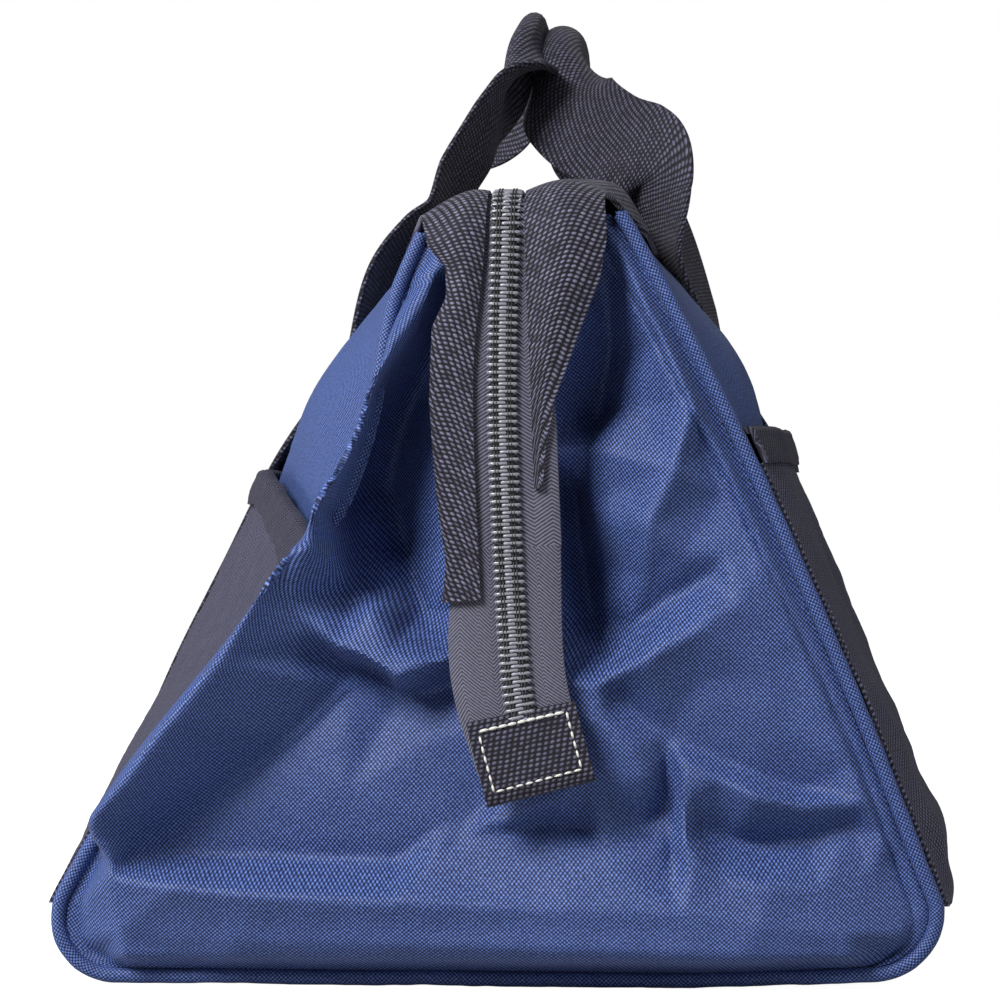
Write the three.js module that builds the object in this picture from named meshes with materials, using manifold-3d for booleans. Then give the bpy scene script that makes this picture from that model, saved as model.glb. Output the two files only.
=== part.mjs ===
// A soft zippered tool bag: a stiffened base, two padded long sides with outer pockets, two folded-in
// end gussets with piping, webbing handles, and a two-slider coil zip that overhangs both ends.
// Millimetres, +Z up, +Y along the bag. The origin is on the floor under the middle of the base,
// and the front end faces -Y. A value named "side" is -1 on the left and +1 on the right, and a
// value named "end" is -1 at the front and +1 at the rear.
import * as THREE from "three";
import { mergeVertices } from "three/addons/utils/BufferGeometryUtils.js";
import Module from "manifold-3d";

const wasm = await Module();
wasm.setup();

// Clearances
const gap = 0.35; // between pieces that lie face to face
const runningGap = 0.4; // round pieces that move

// Base and body
const bodyLength = 444; // seam to seam along Y
const baseWidth = 286; // across the outer faces at the base seam
const baseWallHeight = 25; // turned-up edge of the base
const baseCornerRadius = 22;
const baseThickness = 2.5;
const boardThickness = 2.5;
const boardMargin = 4; // between the stiffening board and the end seams
const panelThickness = 3; // padded long sides

// Long side profile, as half widths at the four heights that steer its curve
const rimHeight = 247; // top edge of the long sides
const hipHeight = 95;
const shoulderHeight = 195;
const endHip = 118;
const endShoulder = 69;
const middleHip = 128; // fuller than at the ends, where the gussets draw the sides in
const middleShoulder = 77;
const rimHalfWidth = 33;
const ridgeLean = 5; // the zip lies this far to the right of the base's centre
const rimLean = 9; // and the rims of the two long sides this far
const bulgePower = 2.5;

// Slump of the front left edge, which the folded gusset draws in
const tuckDepth = 34;
const tuckHeight = 150;
const tuckSpread = 80;
const tuckRoot = 60; // the tuck has its full depth above this height
const tuckReach = 70;

// Gussets and piping
const gussetThickness = 2.2;
const pipingRadius = 2.2;
const gussetTopDrop = 9; // below the rim
const gussetBelly = 17; // how far the foot of a gusset stands out
const bellyHeight = 42;
const bellySpread = 30;
const bellyFoot = 12; // height over which the belly starts from the foot seam
const zipBackHalf = 27; // half width of the cloth that lies flat behind the zip
const zipBackStart = 20; // it leaves the zip this far below the tail's bend
const zipBackEnd = 15; // and lies close to it this far above
const foldDepth = 27; // of the two folds beside the zip
const foldLeft = -40; // X of the left fold, from the zip
const foldRight = 46;
const foldSpread = 17;
const foldHeight = 165;
const foldRise = 62;

// Zip
const turnPitch = 2.4; // of the coil
const toothPitch = 3 * turnPitch; // each tooth stands for three turns
const toothReach = 1.3; // past the middle of the chain
const toothRoot = 1.7; // from the middle of the chain
const toothGap = 0.35;
const chainHalfWidth = 5;
const chainThickness = 2.2;
const chainSeat = 0.6; // clearance over the tapes, wide enough to hold round the bends
const tapeThickness = 1;
const tapeInset = 2.7; // inner edge of each tape from the middle of the chain
const ridgeTapeHalf = 17;
const tailTapeHalf = 17;
const tapeHeight = 251; // underside of the tape along the ridge
const ridgeEndInset = 12; // the straight ridge stops this far inside the end seams
const sliderBow = 3.5; // how far each half of the chain parts round the sliders

// Webbing round the mouth
const rimWebbingThickness = 2;
const webbingInset = 9.2; // inner edge from the middle of the chain
const crownRise = 4.4; // of the rolled webbing over the tape
const crownTilt = 2.8; // higher on the right and lower on the left by this
const rimCover = 8; // how far the webbing comes down outside the long sides
const dropOuterTop = 27; // outer edge of the webbing where it turns down over the end
const dropLeftFoot = 21;
const dropRightFoot = 12;
const dropLeftEnd = 124; // height where the left webbing ends
const dropRightEnd = 160;

// Path of the zip over the end: how far it stands out from the end seam, at each height
const noseRadius = 14; // of the turn from the ridge down over the end
const noseOut = 9;
const chestOut = 13;
const chestHeight = 182;
const hemOut = 17;
const tailHingeHeight = 122;
const tailFootOut = 27;
const tailFootHeight = 62;
const tailSwing = 12; // the loose tail hangs this far to the right at its foot

// End tab
const tabWidth = 35;
const tabHeight = 24;
const tabLayer = 1.8;

// Outer pockets
const pocketThickness = 1.6;
const pocketTop = 172;
const pocketGapes = [9, 11, 14]; // how far the mouth stands off in the front, middle and rear bays
const hemHeight = 12;
const hemThickness = 1.5;

// Handles
const strapWidth = 38;
const strapThickness = 2.2;
const strapSpacing = 190; // between the two legs of a handle
const anchorHeight = 205;
const gripWidth = 20; // the webbing is folded in half along the grip
const gripThickness = 8;
const gripFoldStart = 50; // height over the mouth's webbing where the folding starts
const gripFoldRise = 9; // height over which it closes

// Sliders and pulls
const sliderLength = 18;
const sliderNoseHalf = 8.4;
const sliderTailHalf = 7.2;
const plateThickness = 1.6;
const noseGap = 1; // between the two sliders when the zip is closed
const flangeLength = 5;
const diamondHalf = 1.8;
const diamondLength = 6;
const bridgeWidth = 3;
const bridgeHalfLength = 3.7;
const bridgeWindowHalf = 2.2;
const bridgeRise = 4.7;
const pullLength = 27;
const pullHalfWidth = 4.5;
const pullThickness = 1.5;
const pullAxisRise = 1.5;

const halfLength = bodyLength / 2;
const halfBase = baseWidth / 2;
const strapReach = strapSpacing / 2;

// Colours from the photograph
const navy = new THREE.MeshStandardMaterial({ color: 0x263c7a, roughness: 0.75, metalness: 0 });
const charcoal = new THREE.MeshStandardMaterial({ color: 0x2b2833, roughness: 0.85, metalness: 0 });
const webbing = new THREE.MeshStandardMaterial({ color: 0x24212b, roughness: 0.8, metalness: 0 });
const tape = new THREE.MeshStandardMaterial({ color: 0x37343f, roughness: 0.85, metalness: 0 });
const nylon = new THREE.MeshStandardMaterial({ color: 0x1d2026, roughness: 0.35, metalness: 0 });
const darkMetal = new THREE.MeshStandardMaterial({ color: 0x303236, roughness: 0.35, metalness: 0.9 });
const boardGrey = new THREE.MeshStandardMaterial({ color: 0x1f1f22, roughness: 0.6, metalness: 0 });

const bag = new THREE.Group();

function addPiece(name, geometry, material) {
  const mesh = new THREE.Mesh(geometry, material);
  mesh.name = name;
  bag.add(mesh);
  return mesh;
}

function bezier(a, b, c, d, t) {
  const r = 1 - t;
  return a * r * r * r + 3 * b * r * r * t + 3 * c * r * t * t + d * t * t * t;
}

const bump = (value, centre, spread) => Math.exp(-(((value - centre) / spread) ** 2));
const mix = (a, b, t) => a + (b - a) * t;
const smooth = (a, b, value) => {
  const t = Math.min(1, Math.max(0, (value - a) / (b - a)));
  return t * t * (3 - 2 * t);
};

// Turns points and triangles into a geometry whose faces point outwards.
function solidGeometry(points, triangles) {
  let volume = 0;
  for (const [a, b, c] of triangles)
    volume += points[a].dot(new THREE.Vector3().crossVectors(points[b], points[c]));
  const facing = volume < 0 ? triangles.map(([a, b, c]) => [a, c, b]) : triangles;
  const geometry = new THREE.BufferGeometry().setFromPoints(points);
  geometry.setIndex(facing.flat());
  const faceted = geometry.toNonIndexed();
  faceted.computeVertexNormals();
  return faceted;
}

// A closed sheet between two surfaces, each a function of u and v from 0 to 1.
function sheetSolid(uSteps, vSteps, outer, inner) {
  const us = Array.isArray(uSteps) ? uSteps : evenSteps(uSteps);
  const vs = Array.isArray(vSteps) ? vSteps : evenSteps(vSteps);
  const points = [];
  for (const surface of [outer, inner]) for (const u of us) for (const v of vs) points.push(surface(u, v));
  const columns = vs.length;
  const layer = us.length * columns;
  const at = (i, j, k) => k * layer + i * columns + j;
  const triangles = [];
  const quad = (a, b, c, d) => triangles.push([a, b, c], [a, c, d]);
  for (let i = 0; i + 1 < us.length; i++)
    for (let j = 0; j + 1 < columns; j++) {
      quad(at(i, j, 0), at(i + 1, j, 0), at(i + 1, j + 1, 0), at(i, j + 1, 0));
      quad(at(i, j, 1), at(i, j + 1, 1), at(i + 1, j + 1, 1), at(i + 1, j, 1));
    }
  const lastU = us.length - 1;
  const lastV = columns - 1;
  for (let i = 0; i < lastU; i++) {
    quad(at(i, 0, 0), at(i, 0, 1), at(i + 1, 0, 1), at(i + 1, 0, 0));
    quad(at(i, lastV, 0), at(i + 1, lastV, 0), at(i + 1, lastV, 1), at(i, lastV, 1));
  }
  for (let j = 0; j < lastV; j++) {
    quad(at(0, j, 0), at(0, j + 1, 0), at(0, j + 1, 1), at(0, j, 1));
    quad(at(lastU, j, 0), at(lastU, j, 1), at(lastU, j + 1, 1), at(lastU, j + 1, 0));
  }
  return solidGeometry(points, triangles);
}

function evenSteps(count) {
  return Array.from({ length: count + 1 }, (_, i) => i / count);
}

// Side profile
const sideStart = baseWallHeight + gap;
const sideHeight = (v) => bezier(sideStart, hipHeight, shoulderHeight, rimHeight, v);

// The share of the profile at which a long side reaches a height.
function profileAt(height) {
  let low = 0;
  let high = 1;
  for (let i = 0; i < 40; i++) {
    const middle = (low + high) / 2;
    if (sideHeight(middle) < height) low = middle;
    else high = middle;
  }
  return (low + high) / 2;
}

// X of a long side's outer face. It bulges between the ends, and its front left edge is drawn in.
function sideX(side, y, v) {
  const along = Math.min(1, Math.abs(y) / halfLength);
  const fullness = 1 - along ** bulgePower;
  const atEnd = bezier(halfBase, endHip, endShoulder, rimHalfWidth, v);
  const atMiddle = bezier(halfBase, middleHip, middleShoulder, rimHalfWidth, v);
  const lean = bezier(0, 0, 0.6 * rimLean, rimLean, v);
  const z = sideHeight(v);
  const belowRim = 1 - v ** 6;
  const tuck = side < 0 ? tuckDepth * bump(z, tuckHeight, tuckSpread) * bump(y, -halfLength, tuckReach) : 0;
  const aboveBase = smooth(sideStart, tuckRoot, z);
  return side * mix(atEnd, atMiddle, fullness) + lean + tuck * aboveBase * belowRim;
}

function sidePoint(side, y, v, offset) {
  return new THREE.Vector3(sideX(side, y, v) + side * offset, y, sideHeight(v));
}

const pocketV = profileAt(pocketTop);
const anchorV = profileAt(anchorHeight);
const dividerHalf = strapWidth / 2;

// Bays of a pocket between the sewn handle webbing: their two ends along Y, and their gape.
const pocketBays = [
  [-halfLength, -strapReach - dividerHalf, pocketGapes[0]],
  [-strapReach + dividerHalf, strapReach - dividerHalf, pocketGapes[1]],
  [strapReach + dividerHalf, halfLength, pocketGapes[2]],
];

// Stations along Y and up the profile that every layer of a long side shares, so that the layers
// stack without crossing.
const stations = [
  ...pocketBays.flatMap(([from, to]) => [0, 0.1, 0.35, 0.65, 0.9, 1].map((share) => mix(from, to, share))),
  -strapReach,
  strapReach,
]
  .map((y) => y / halfLength)
  .sort((a, b) => a - b);
const lengthShare = (t) => t * (halfLength - gap);
const hemV = profileAt(pocketTop - hemHeight);
const rimV = profileAt(rimHeight - rimCover);
const pocketRows = [0, 0.22, 0.44, 0.66, 0.83].map((share) => share * pocketV).concat(hemV, pocketV);
const strapRows = [...pocketRows, mix(pocketV, anchorV, 0.5), anchorV];
const panelRows = [...strapRows, mix(anchorV, rimV, 0.5), rimV, 1];

function sidePanel(side) {
  return sheetSolid(
    stations,
    panelRows,
    (t, v) => sidePoint(side, lengthShare(t), v, 0),
    (t, v) => sidePoint(side, lengthShare(t), v, -panelThickness),
  );
}

// How far a pocket stands off the long side: flat at the ends and under the straps, open between.
function pocketStandOff(y, v) {
  const rise = v / pocketV;
  for (const [from, to, gape] of pocketBays)
    if (y > from && y < to) {
      const across = (2 * (y - from)) / (to - from) - 1;
      const arch = 1 - across ** 4;
      return gap + arch * (gape * rise ** 1.2 + 5 * Math.sin(Math.PI * rise) * (1 - rise));
    }
  return gap;
}

function pocketPoint(side, t, v, extra) {
  const y = lengthShare(t);
  return sidePoint(side, y, v, pocketStandOff(y, v) + extra);
}

function pocket(side) {
  return sheetSolid(
    stations,
    pocketRows,
    (t, v) => pocketPoint(side, t, v, pocketThickness),
    (t, v) => pocketPoint(side, t, v, 0),
  );
}

function pocketHem(side) {
  const base = pocketThickness + gap;
  return sheetSolid(
    stations,
    [hemV, pocketV],
    (t, v) => pocketPoint(side, t, v, base + hemThickness),
    (t, v) => pocketPoint(side, t, v, base),
  );
}

// The handle webbing is sewn down the long side, over the pocket and its hem.
const strapOffset = pocketThickness + hemThickness + 3 * gap;
function sewnStrap(side, end) {
  const inside = (t) => Math.abs(t * halfLength - end * strapReach) < dividerHalf + 1e-6;
  return sheetSolid(
    stations.filter(inside),
    strapRows,
    (t, v) => sidePoint(side, lengthShare(t), v, strapOffset + strapThickness),
    (t, v) => sidePoint(side, lengthShare(t), v, strapOffset),
  );
}

// The base is a tray with rounded long edges.
function basePanel() {
  const arcSteps = 5;
  const outline = (offset) => {
    const radius = baseCornerRadius - offset;
    const points = [];
    for (const side of [-1, 1]) {
      const arc = [new THREE.Vector2(side * (halfBase - offset), baseWallHeight)];
      for (let i = 0; i <= arcSteps; i++) {
        const angle = (i / arcSteps) * (Math.PI / 2);
        arc.push(
          new THREE.Vector2(
            side * (halfBase - baseCornerRadius + radius * Math.cos(angle)),
            baseCornerRadius - radius * Math.sin(angle),
          ),
        );
      }
      points.push(...(side < 0 ? arc : arc.reverse()));
    }
    return points;
  };
  const outer = outline(0);
  const inner = outline(baseThickness);
  const count = outer.length - 1;
  const point = (list, u, v) => {
    const p = list[Math.round(u * count)];
    return new THREE.Vector3(p.x, mix(-halfLength, halfLength, v), p.y);
  };
  return sheetSolid(
    evenSteps(count),
    1,
    (u, v) => point(outer, u, v),
    (u, v) => point(inner, u, v),
  );
}

function baseBoard() {
  const height = baseThickness + gap + boardThickness / 2;
  const board = new THREE.BoxGeometry(
    2 * (halfBase - baseCornerRadius),
    2 * (halfLength - boardMargin),
    boardThickness,
  );
  board.translate(0, 0, height);
  return board;
}

// X of the end outline's edge at a height, brought in by an inset.
function outlineX(side, end, z, inset) {
  if (z >= sideStart) return sideX(side, end * halfLength, profileAt(Math.min(z, rimHeight))) - side * inset;
  if (z >= baseCornerRadius) return side * (halfBase - inset);
  const radius = Math.max(baseCornerRadius - inset, 0.1);
  const down = Math.min(radius, baseCornerRadius - z);
  return side * (halfBase - baseCornerRadius + Math.sqrt(radius * radius - down * down));
}

// Centre line of the zip where it leaves the ridge, turns over the end and hangs as a tail.
function tonguePath(end) {
  const spots = [
    [ridgeLean, -ridgeEndInset, tapeHeight],
    ...[1, 0.75, 0.5, 0.25, 0].map((turn) => {
      const angle = (turn * Math.PI) / 2;
      const out = noseOut - noseRadius + noseRadius * Math.cos(angle);
      return [ridgeLean, out, tapeHeight - noseRadius + noseRadius * Math.sin(angle)];
    }),
    [ridgeLean - 0.7, mix(noseOut, chestOut, 0.6), mix(tapeHeight - noseRadius, chestHeight, 0.5)],
    [ridgeLean - 0.7, chestOut, chestHeight],
    [ridgeLean + 0.5, mix(chestOut, hemOut, 0.5), mix(chestHeight, tailHingeHeight, 0.5)],
    [ridgeLean + 0.18 * tailSwing, hemOut, tailHingeHeight],
    [ridgeLean + 0.45 * tailSwing, mix(hemOut, tailFootOut, 0.5), mix(tailHingeHeight, tailFootHeight, 0.5)],
    [ridgeLean + tailSwing, tailFootOut, tailFootHeight],
  ];
  return new THREE.CatmullRomCurve3(
    spots.map(([x, out, z]) => new THREE.Vector3(x, end * (halfLength + out), z)),
    false,
    "centripetal",
  );
}

// A frame on a path: its point, the direction to the right, and the direction out of the bag.
function frameOn(path, end, t) {
  const point = path.getPointAt(t);
  const tangent = path.getTangentAt(t);
  const right = new THREE.Vector3(1, 0, 0).addScaledVector(tangent, -tangent.x).normalize();
  const out = new THREE.Vector3().crossVectors(tangent, right);
  if (out.y * end + out.z < 0) out.negate();
  return { point, right, out };
}

const placeOn = ({ point, right, out }, across, up) =>
  point.clone().addScaledVector(right, across).addScaledVector(out, up);

// The share of the path's length at which it comes down to a height.
function shareAtHeight(path, height) {
  let low = 0;
  let high = 1;
  for (let i = 0; i < 40; i++) {
    const middle = (low + high) / 2;
    if (path.getPointAt(middle).z > height) low = middle;
    else high = middle;
  }
  return (low + high) / 2;
}

const tongues = {
  [-1]: tonguePath(-1),
  1: tonguePath(1),
};
const tongueLength = tongues[-1].getLength();
const shareOf = (length) => length / tongueLength;
const hingeShare = shareAtHeight(tongues[-1], tailHingeHeight);
const tailStart = hingeShare + shareOf(gap);

// Heights of the layers above the path, which is the underside of the tape.
const chainBase = tapeThickness + chainSeat;

// Shares of the path's length at which every strip on it bends, closer together on the turn over the end.
const bendLength = 45;
const pathBends = [
  ...evenSteps(12).map((t) => t * bendLength),
  ...evenSteps(12).map((t) => mix(bendLength, tongueLength, t)),
].map(shareOf);

// A strip that follows the zip's path between two shares of its length.
function tongueStrip(end, from, to, inner, outer, base, thickness) {
  const path = tongues[end];
  const place = (u, v, up) => {
    const share = mix(from, to, u);
    const frame = frameOn(path, end, share);
    return placeOn(frame, mix(inner(u), outer(u), v), up);
  };
  const between = pathBends.filter((share) => share > from + 1e-3 && share < to - 1e-3);
  return sheetSolid(
    [from, ...between, to].map((share) => (share - from) / (to - from)),
    1,
    (u, v) => place(u, v, base + thickness),
    (u, v) => place(u, v, base),
  );
}

// One half of the zip's chain: a spine with teeth that reach between those of the other half.
// place(s, across, up) puts a point at a distance along the chain.
function chainHalf(side, length, place) {
  const count = Math.floor(length / toothPitch);
  const margin = (length - count * toothPitch) / 2;
  const toothLength = toothPitch / 2 - toothGap;
  const phase = side < 0 ? 0.25 : 0.75;
  const points = [];
  const triangles = [];
  const pair = (s, across) => {
    points.push(place(s, side * across, chainBase), place(s, side * across, chainBase + chainThickness));
    return points.length - 2;
  };
  const quad = (a, b, c, d) => triangles.push([a, b, c], [a, c, d]);
  const wall = (p, q) => quad(p + 1, q + 1, q, p);
  const cover = (p, q, r) => triangles.push([p, r, q], [p + 1, q + 1, r + 1]);
  const firstOuter = pair(0, chainHalfWidth);
  const firstRoot = pair(0, toothRoot);
  let outer = firstOuter;
  let root = firstRoot;
  wall(root, outer);
  for (let i = 0; i < count; i++) {
    const start = margin + (i + phase) * toothPitch - toothLength / 2;
    const stop = start + toothLength;
    const last = i === count - 1;
    const rootStart = pair(start, toothRoot);
    const tipStart = pair(start, -toothReach);
    const tipStop = pair(stop, -toothReach);
    const rootStop = pair(stop, toothRoot);
    const nextOuter = pair(last ? length : margin + (i + 1) * toothPitch, chainHalfWidth);
    cover(outer, root, rootStart);
    cover(outer, rootStart, rootStop);
    cover(outer, rootStop, nextOuter);
    cover(rootStart, tipStart, tipStop);
    cover(rootStart, tipStop, rootStop);
    wall(outer, nextOuter);
    wall(rootStart, root);
    wall(tipStart, rootStart);
    wall(tipStop, tipStart);
    wall(rootStop, tipStop);
    outer = nextOuter;
    root = rootStop;
  }
  const endRoot = pair(length, toothRoot);
  cover(outer, root, endRoot);
  wall(endRoot, root);
  wall(outer, endRoot);
  return solidGeometry(points, triangles);
}

const ridgeHalfLength = halfLength - ridgeEndInset - gap;
const bowEnd = sliderLength + noseGap / 2 - flangeLength; // where the slider's flanges take the chain

// Along the ridge each half bows out round the noses of the two sliders.
function ridgeChain(side) {
  const bow = (y) => sliderBow * (1 - smooth(diamondLength, bowEnd, Math.abs(y)));
  return chainHalf(side, 2 * ridgeHalfLength, (s, across, up) => {
    const y = s - ridgeHalfLength;
    return new THREE.Vector3(ridgeLean + across + side * bow(y), y, tapeHeight + up);
  });
}

function tongueChain(side, end, from, to) {
  const path = tongues[end];
  return chainHalf(side, (to - from) * tongueLength, (s, across, up) =>
    placeOn(frameOn(path, end, from + shareOf(s)), across, up),
  );
}

function ridgeTape(side) {
  const near = ridgeLean + side * tapeInset;
  const far = ridgeLean + side * ridgeTapeHalf;
  const strip = new THREE.BoxGeometry(Math.abs(far - near), 2 * ridgeHalfLength, tapeThickness);
  strip.translate((near + far) / 2, 0, tapeHeight + tapeThickness / 2);
  return strip;
}

// Rolled webbing along the mouth: from beside the chain, over a crown, and down outside the long side.
function rimWebbing(side) {
  const seat = tapeHeight + tapeThickness + gap;
  const rows = (y, lift) => {
    const edge = sideX(side, y, 1) - ridgeLean;
    const outside = sideX(side, y, rimV) - ridgeLean;
    const reach = Math.abs(edge) - webbingInset;
    const crown = seat + crownRise + side * crownTilt;
    return [
      [webbingInset, seat + lift],
      [webbingInset + 0.3 * reach, mix(seat, crown, 0.75) + lift],
      [webbingInset + 0.6 * reach, crown + lift],
      [webbingInset + 0.85 * reach + 0.4 * lift, mix(crown, rimHeight, 0.3) + lift],
      [Math.abs(edge) + gap + 2 * gap + lift, rimHeight + gap + 0.3 * lift],
      [Math.abs(outside) + 3 * gap + lift, sideHeight(rimV)],
    ];
  };
  const count = 5;
  const place = (t, v, lift) => {
    const y = t * ridgeHalfLength;
    const [across, z] = rows(y, lift)[Math.round(v * count)];
    return new THREE.Vector3(ridgeLean + side * across, y, z);
  };
  return sheetSolid(
    stations,
    count,
    (t, v) => place(t, v, rimWebbingThickness),
    (t, v) => place(t, v, 0),
  );
}

// Webbing beside the zip where it comes down over the end. The right one tapers away.
function dropWebbing(side, end) {
  const foot = side < 0 ? dropLeftFoot : dropRightFoot;
  const stop = shareAtHeight(tongues[end], side < 0 ? dropLeftEnd : dropRightEnd);
  return tongueStrip(
    end,
    shareOf(gap),
    stop,
    () => side * webbingInset,
    (u) => side * mix(dropOuterTop, foot, smooth(0.25, 1, u)),
    chainBase,
    rimWebbingThickness,
  );
}

function dropTape(side, end) {
  return tongueStrip(
    end,
    shareOf(gap),
    hingeShare,
    () => side * tapeInset,
    () => side * ridgeTapeHalf,
    0,
    tapeThickness,
  );
}

const tabShare = shareOf(tabHeight);
const tabRoof = 1 - tabShare;

function tailTape(side, end) {
  return tongueStrip(
    end,
    tailStart,
    1 - shareOf(tabLayer + gap),
    () => side * tapeInset,
    (u) => side * mix(ridgeTapeHalf, tailTapeHalf, smooth(0, 0.6, u)),
    0,
    tapeThickness,
  );
}

// Webbing folded over the end of both tapes: two layers joined by the fold at the foot.
function endTab(end) {
  const path = tongues[end];
  const profile = [
    [tabRoof, tapeThickness + gap],
    [1 - shareOf(tabLayer), tapeThickness + gap],
    [1 - shareOf(tabLayer), -gap],
    [tabRoof, -gap],
    [tabRoof, -gap - tabLayer],
    [1, -gap - tabLayer],
    [1, tapeThickness + gap + tabLayer],
    [tabRoof, tapeThickness + gap + tabLayer],
  ];
  const points = [];
  for (const side of [-1, 1])
    for (const [share, up] of profile)
      points.push(placeOn(frameOn(path, end, share), (side * tabWidth) / 2, up));
  const count = profile.length;
  const outline = profile.map(([share, up]) => new THREE.Vector2(share * tongueLength, up));
  const triangles = [];
  for (const [a, b, c] of THREE.ShapeUtils.triangulateShape(outline, [])) {
    triangles.push([a, b, c], [a + count, c + count, b + count]);
  }
  for (let i = 0; i < count; i++) {
    const next = (i + 1) % count;
    triangles.push([i, i + count, next], [next, i + count, next + count]);
  }
  return solidGeometry(points, triangles);
}

// How far a gusset stands out of its end seam at a height and a place across, where across runs
// from -1 at the left seam to 1 at the right one.
const seamOut = gap + gussetThickness;
const gussetInset = 2 * pipingRadius + 2 * gap;
const gussetFoot = gussetInset;
const gussetTop = rimHeight - gussetTopDrop;
function tongueOut(end, z) {
  const path = tongues[end];
  const share = shareAtHeight(path, Math.max(z, tailFootHeight + 1));
  return Math.abs(path.getPointAt(share).y) - halfLength - 3 * gap;
}
function gussetOut(end, x, z, across) {
  const held = (1 - Math.abs(across) ** 6) * smooth(gussetFoot, gussetFoot + bellyFoot, z);
  const fromZip = x - ridgeLean;
  const belly = gussetBelly * bump(z, bellyHeight, bellySpread) * held;
  const nearZip = Math.exp(-((fromZip / zipBackHalf) ** 4));
  const closeness = smooth(tailHingeHeight - zipBackStart, tailHingeHeight + zipBackEnd, z);
  const supported = (tongueOut(end, z) - seamOut) * nearZip * closeness;
  const folds = bump(fromZip, foldLeft, foldSpread) + bump(fromZip, foldRight, foldSpread);
  const sunk = foldDepth * folds * bump(z, foldHeight, foldRise) * held;
  return seamOut + belly + supported - sunk * (1 - nearZip);
}

const gussetRows = [0, 0.05, 0.13, 0.24, 0.36, 0.48, 0.6, 0.7, 0.8, 0.88, 0.95, 1];
function gusset(end) {
  const place = (u, v, back) => {
    const z = mix(gussetFoot, gussetTop, v);
    const left = outlineX(-1, end, z, gussetInset);
    const right = outlineX(1, end, z, gussetInset);
    const x = mix(left, right, u);
    const out = gussetOut(end, x, z, 2 * u - 1) - back;
    return new THREE.Vector3(x, end * (halfLength + out), z);
  };
  return sheetSolid(
    evenSteps(14),
    gussetRows,
    (u, v) => place(u, v, 0),
    (u, v) => place(u, v, gussetThickness),
  );
}

// A curve whose sections lie at its own spots, so that tight corners keep as many as long straights.
class SpottedCurve extends THREE.CatmullRomCurve3 {
  getSpacedPoints(divisions) {
    return this.getPoints(divisions);
  }
  getTangentAt(share) {
    return this.getTangent(share);
  }
}

// Piping round an end seam, from one shoulder down, across the floor and up to the other.
function piping(end) {
  const y = end * (halfLength + gap + pipingRadius);
  const heights = gussetRows.map((v) => mix(gussetFoot, gussetTop, v)).filter((z) => z > baseCornerRadius);
  const side = (hand) => heights.map((z) => new THREE.Vector3(outlineX(hand, end, z, pipingRadius), y, z));
  const spots = side(-1).reverse();
  const radius = baseCornerRadius - pipingRadius;
  const straight = halfBase - baseCornerRadius;
  const arcSteps = 5;
  for (const hand of [-1, 1]) {
    for (let i = 0; i <= arcSteps; i++) {
      const turn = hand < 0 ? i / arcSteps : 1 - i / arcSteps;
      const angle = (turn * Math.PI) / 2;
      const x = hand * (straight + radius * Math.cos(angle));
      spots.push(new THREE.Vector3(x, y, baseCornerRadius - radius * Math.sin(angle)));
    }
    if (hand < 0)
      for (const share of [-0.95, -0.8, 0, 0.8, 0.95]) spots.push(new THREE.Vector3(share * straight, y, pipingRadius));
  }
  spots.push(...side(1));
  const path = new SpottedCurve(spots, false, "centripetal");
  const section = new THREE.Shape();
  const sides = 6;
  for (let i = 0; i < sides; i++) {
    const angle = (2 * Math.PI * i) / sides;
    const x = pipingRadius * Math.cos(angle);
    const z = pipingRadius * Math.sin(angle);
    if (i) section.lineTo(x, z);
    else section.moveTo(x, z);
  }
  section.closePath();
  return new THREE.ExtrudeGeometry(section, { steps: spots.length - 1, extrudePath: path, bevelEnabled: false });
}

// Handles. Each leg leaves its anchor on the long side, and the grip is folded in half above the
// ridge. A rising or falling row gives a share of the way from anchor to rim, a distance off the
// long side, and Y as a share of the strap's. A row over the mouth gives X from the ridge, height
// over the crown, and Y. The last number in each row is how many quarter turns the webbing twists.
const crownHeight = tapeHeight + tapeThickness + gap + crownRise + rimWebbingThickness;
const anchorOff = strapOffset + strapThickness / 2;
const handleShapes = {
  left: {
    side: -1,
    rising: [
      [0.22, 4, -1, -0.1],
      [0.48, 6.5, -1, -0.15],
      [0.78, 10, -0.985, -0.1],
    ],
    over: [
      [-43, -11, -92, -0.1],
      [-33.5, -2, -90, -0.05],
      [-26.5, 11, -87, -0.12],
      [-17, 28, -79, -0.1],
      [-8.5, 42, -68, 0],
      [-4.5, 54, -54, 0],
      [-4, 63, -38, 0],
      [-3.5, 71, -18, 0],
      [-3.5, 72, 0, 0],
      [-3.5, 71, 18, 0],
      [-5, 63, 38, 0],
      [-11, 53, 58, 0.1],
      [-24, 42, 76, 0.2],
      [-38, 28, 88, 0.2],
      [-49, 10, 93, 0.1],
    ],
    falling: [
      [0.5, 14, 1, 0.1],
      [0.22, 7, 1, 0],
    ],
  },
  right: {
    side: 1,
    rising: [
      [0.25, 1.5, -1, 0.05],
      [0.55, 3.5, -1, 0.12],
      [0.85, 6.5, -1, 0.22],
    ],
    over: [
      [50.5, -7, -95, 0.3],
      [48, 3, -95, 0.4],
      [45, 13, -94, 0.5],
      [38, 22, -88, 0.6],
      [24, 30, -74, 0.62],
      [13, 42, -57, 0.5],
      [10, 58, -40, 0.3],
      [9.5, 70, -20, 0.05],
      [9.5, 72, 0, 0],
      [9.5, 70, 20, 0],
      [9.5, 61, 40, 0.05],
      [10, 51, 58, 0.2],
      [13, 40, 75, 0.4],
      [26, 27, 87, 0.3],
      [44, 12, 93, 0.2],
    ],
    falling: [
      [0.62, 8, 1, 0.1],
      [0.3, 4, 1, 0],
    ],
  },
};

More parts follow.
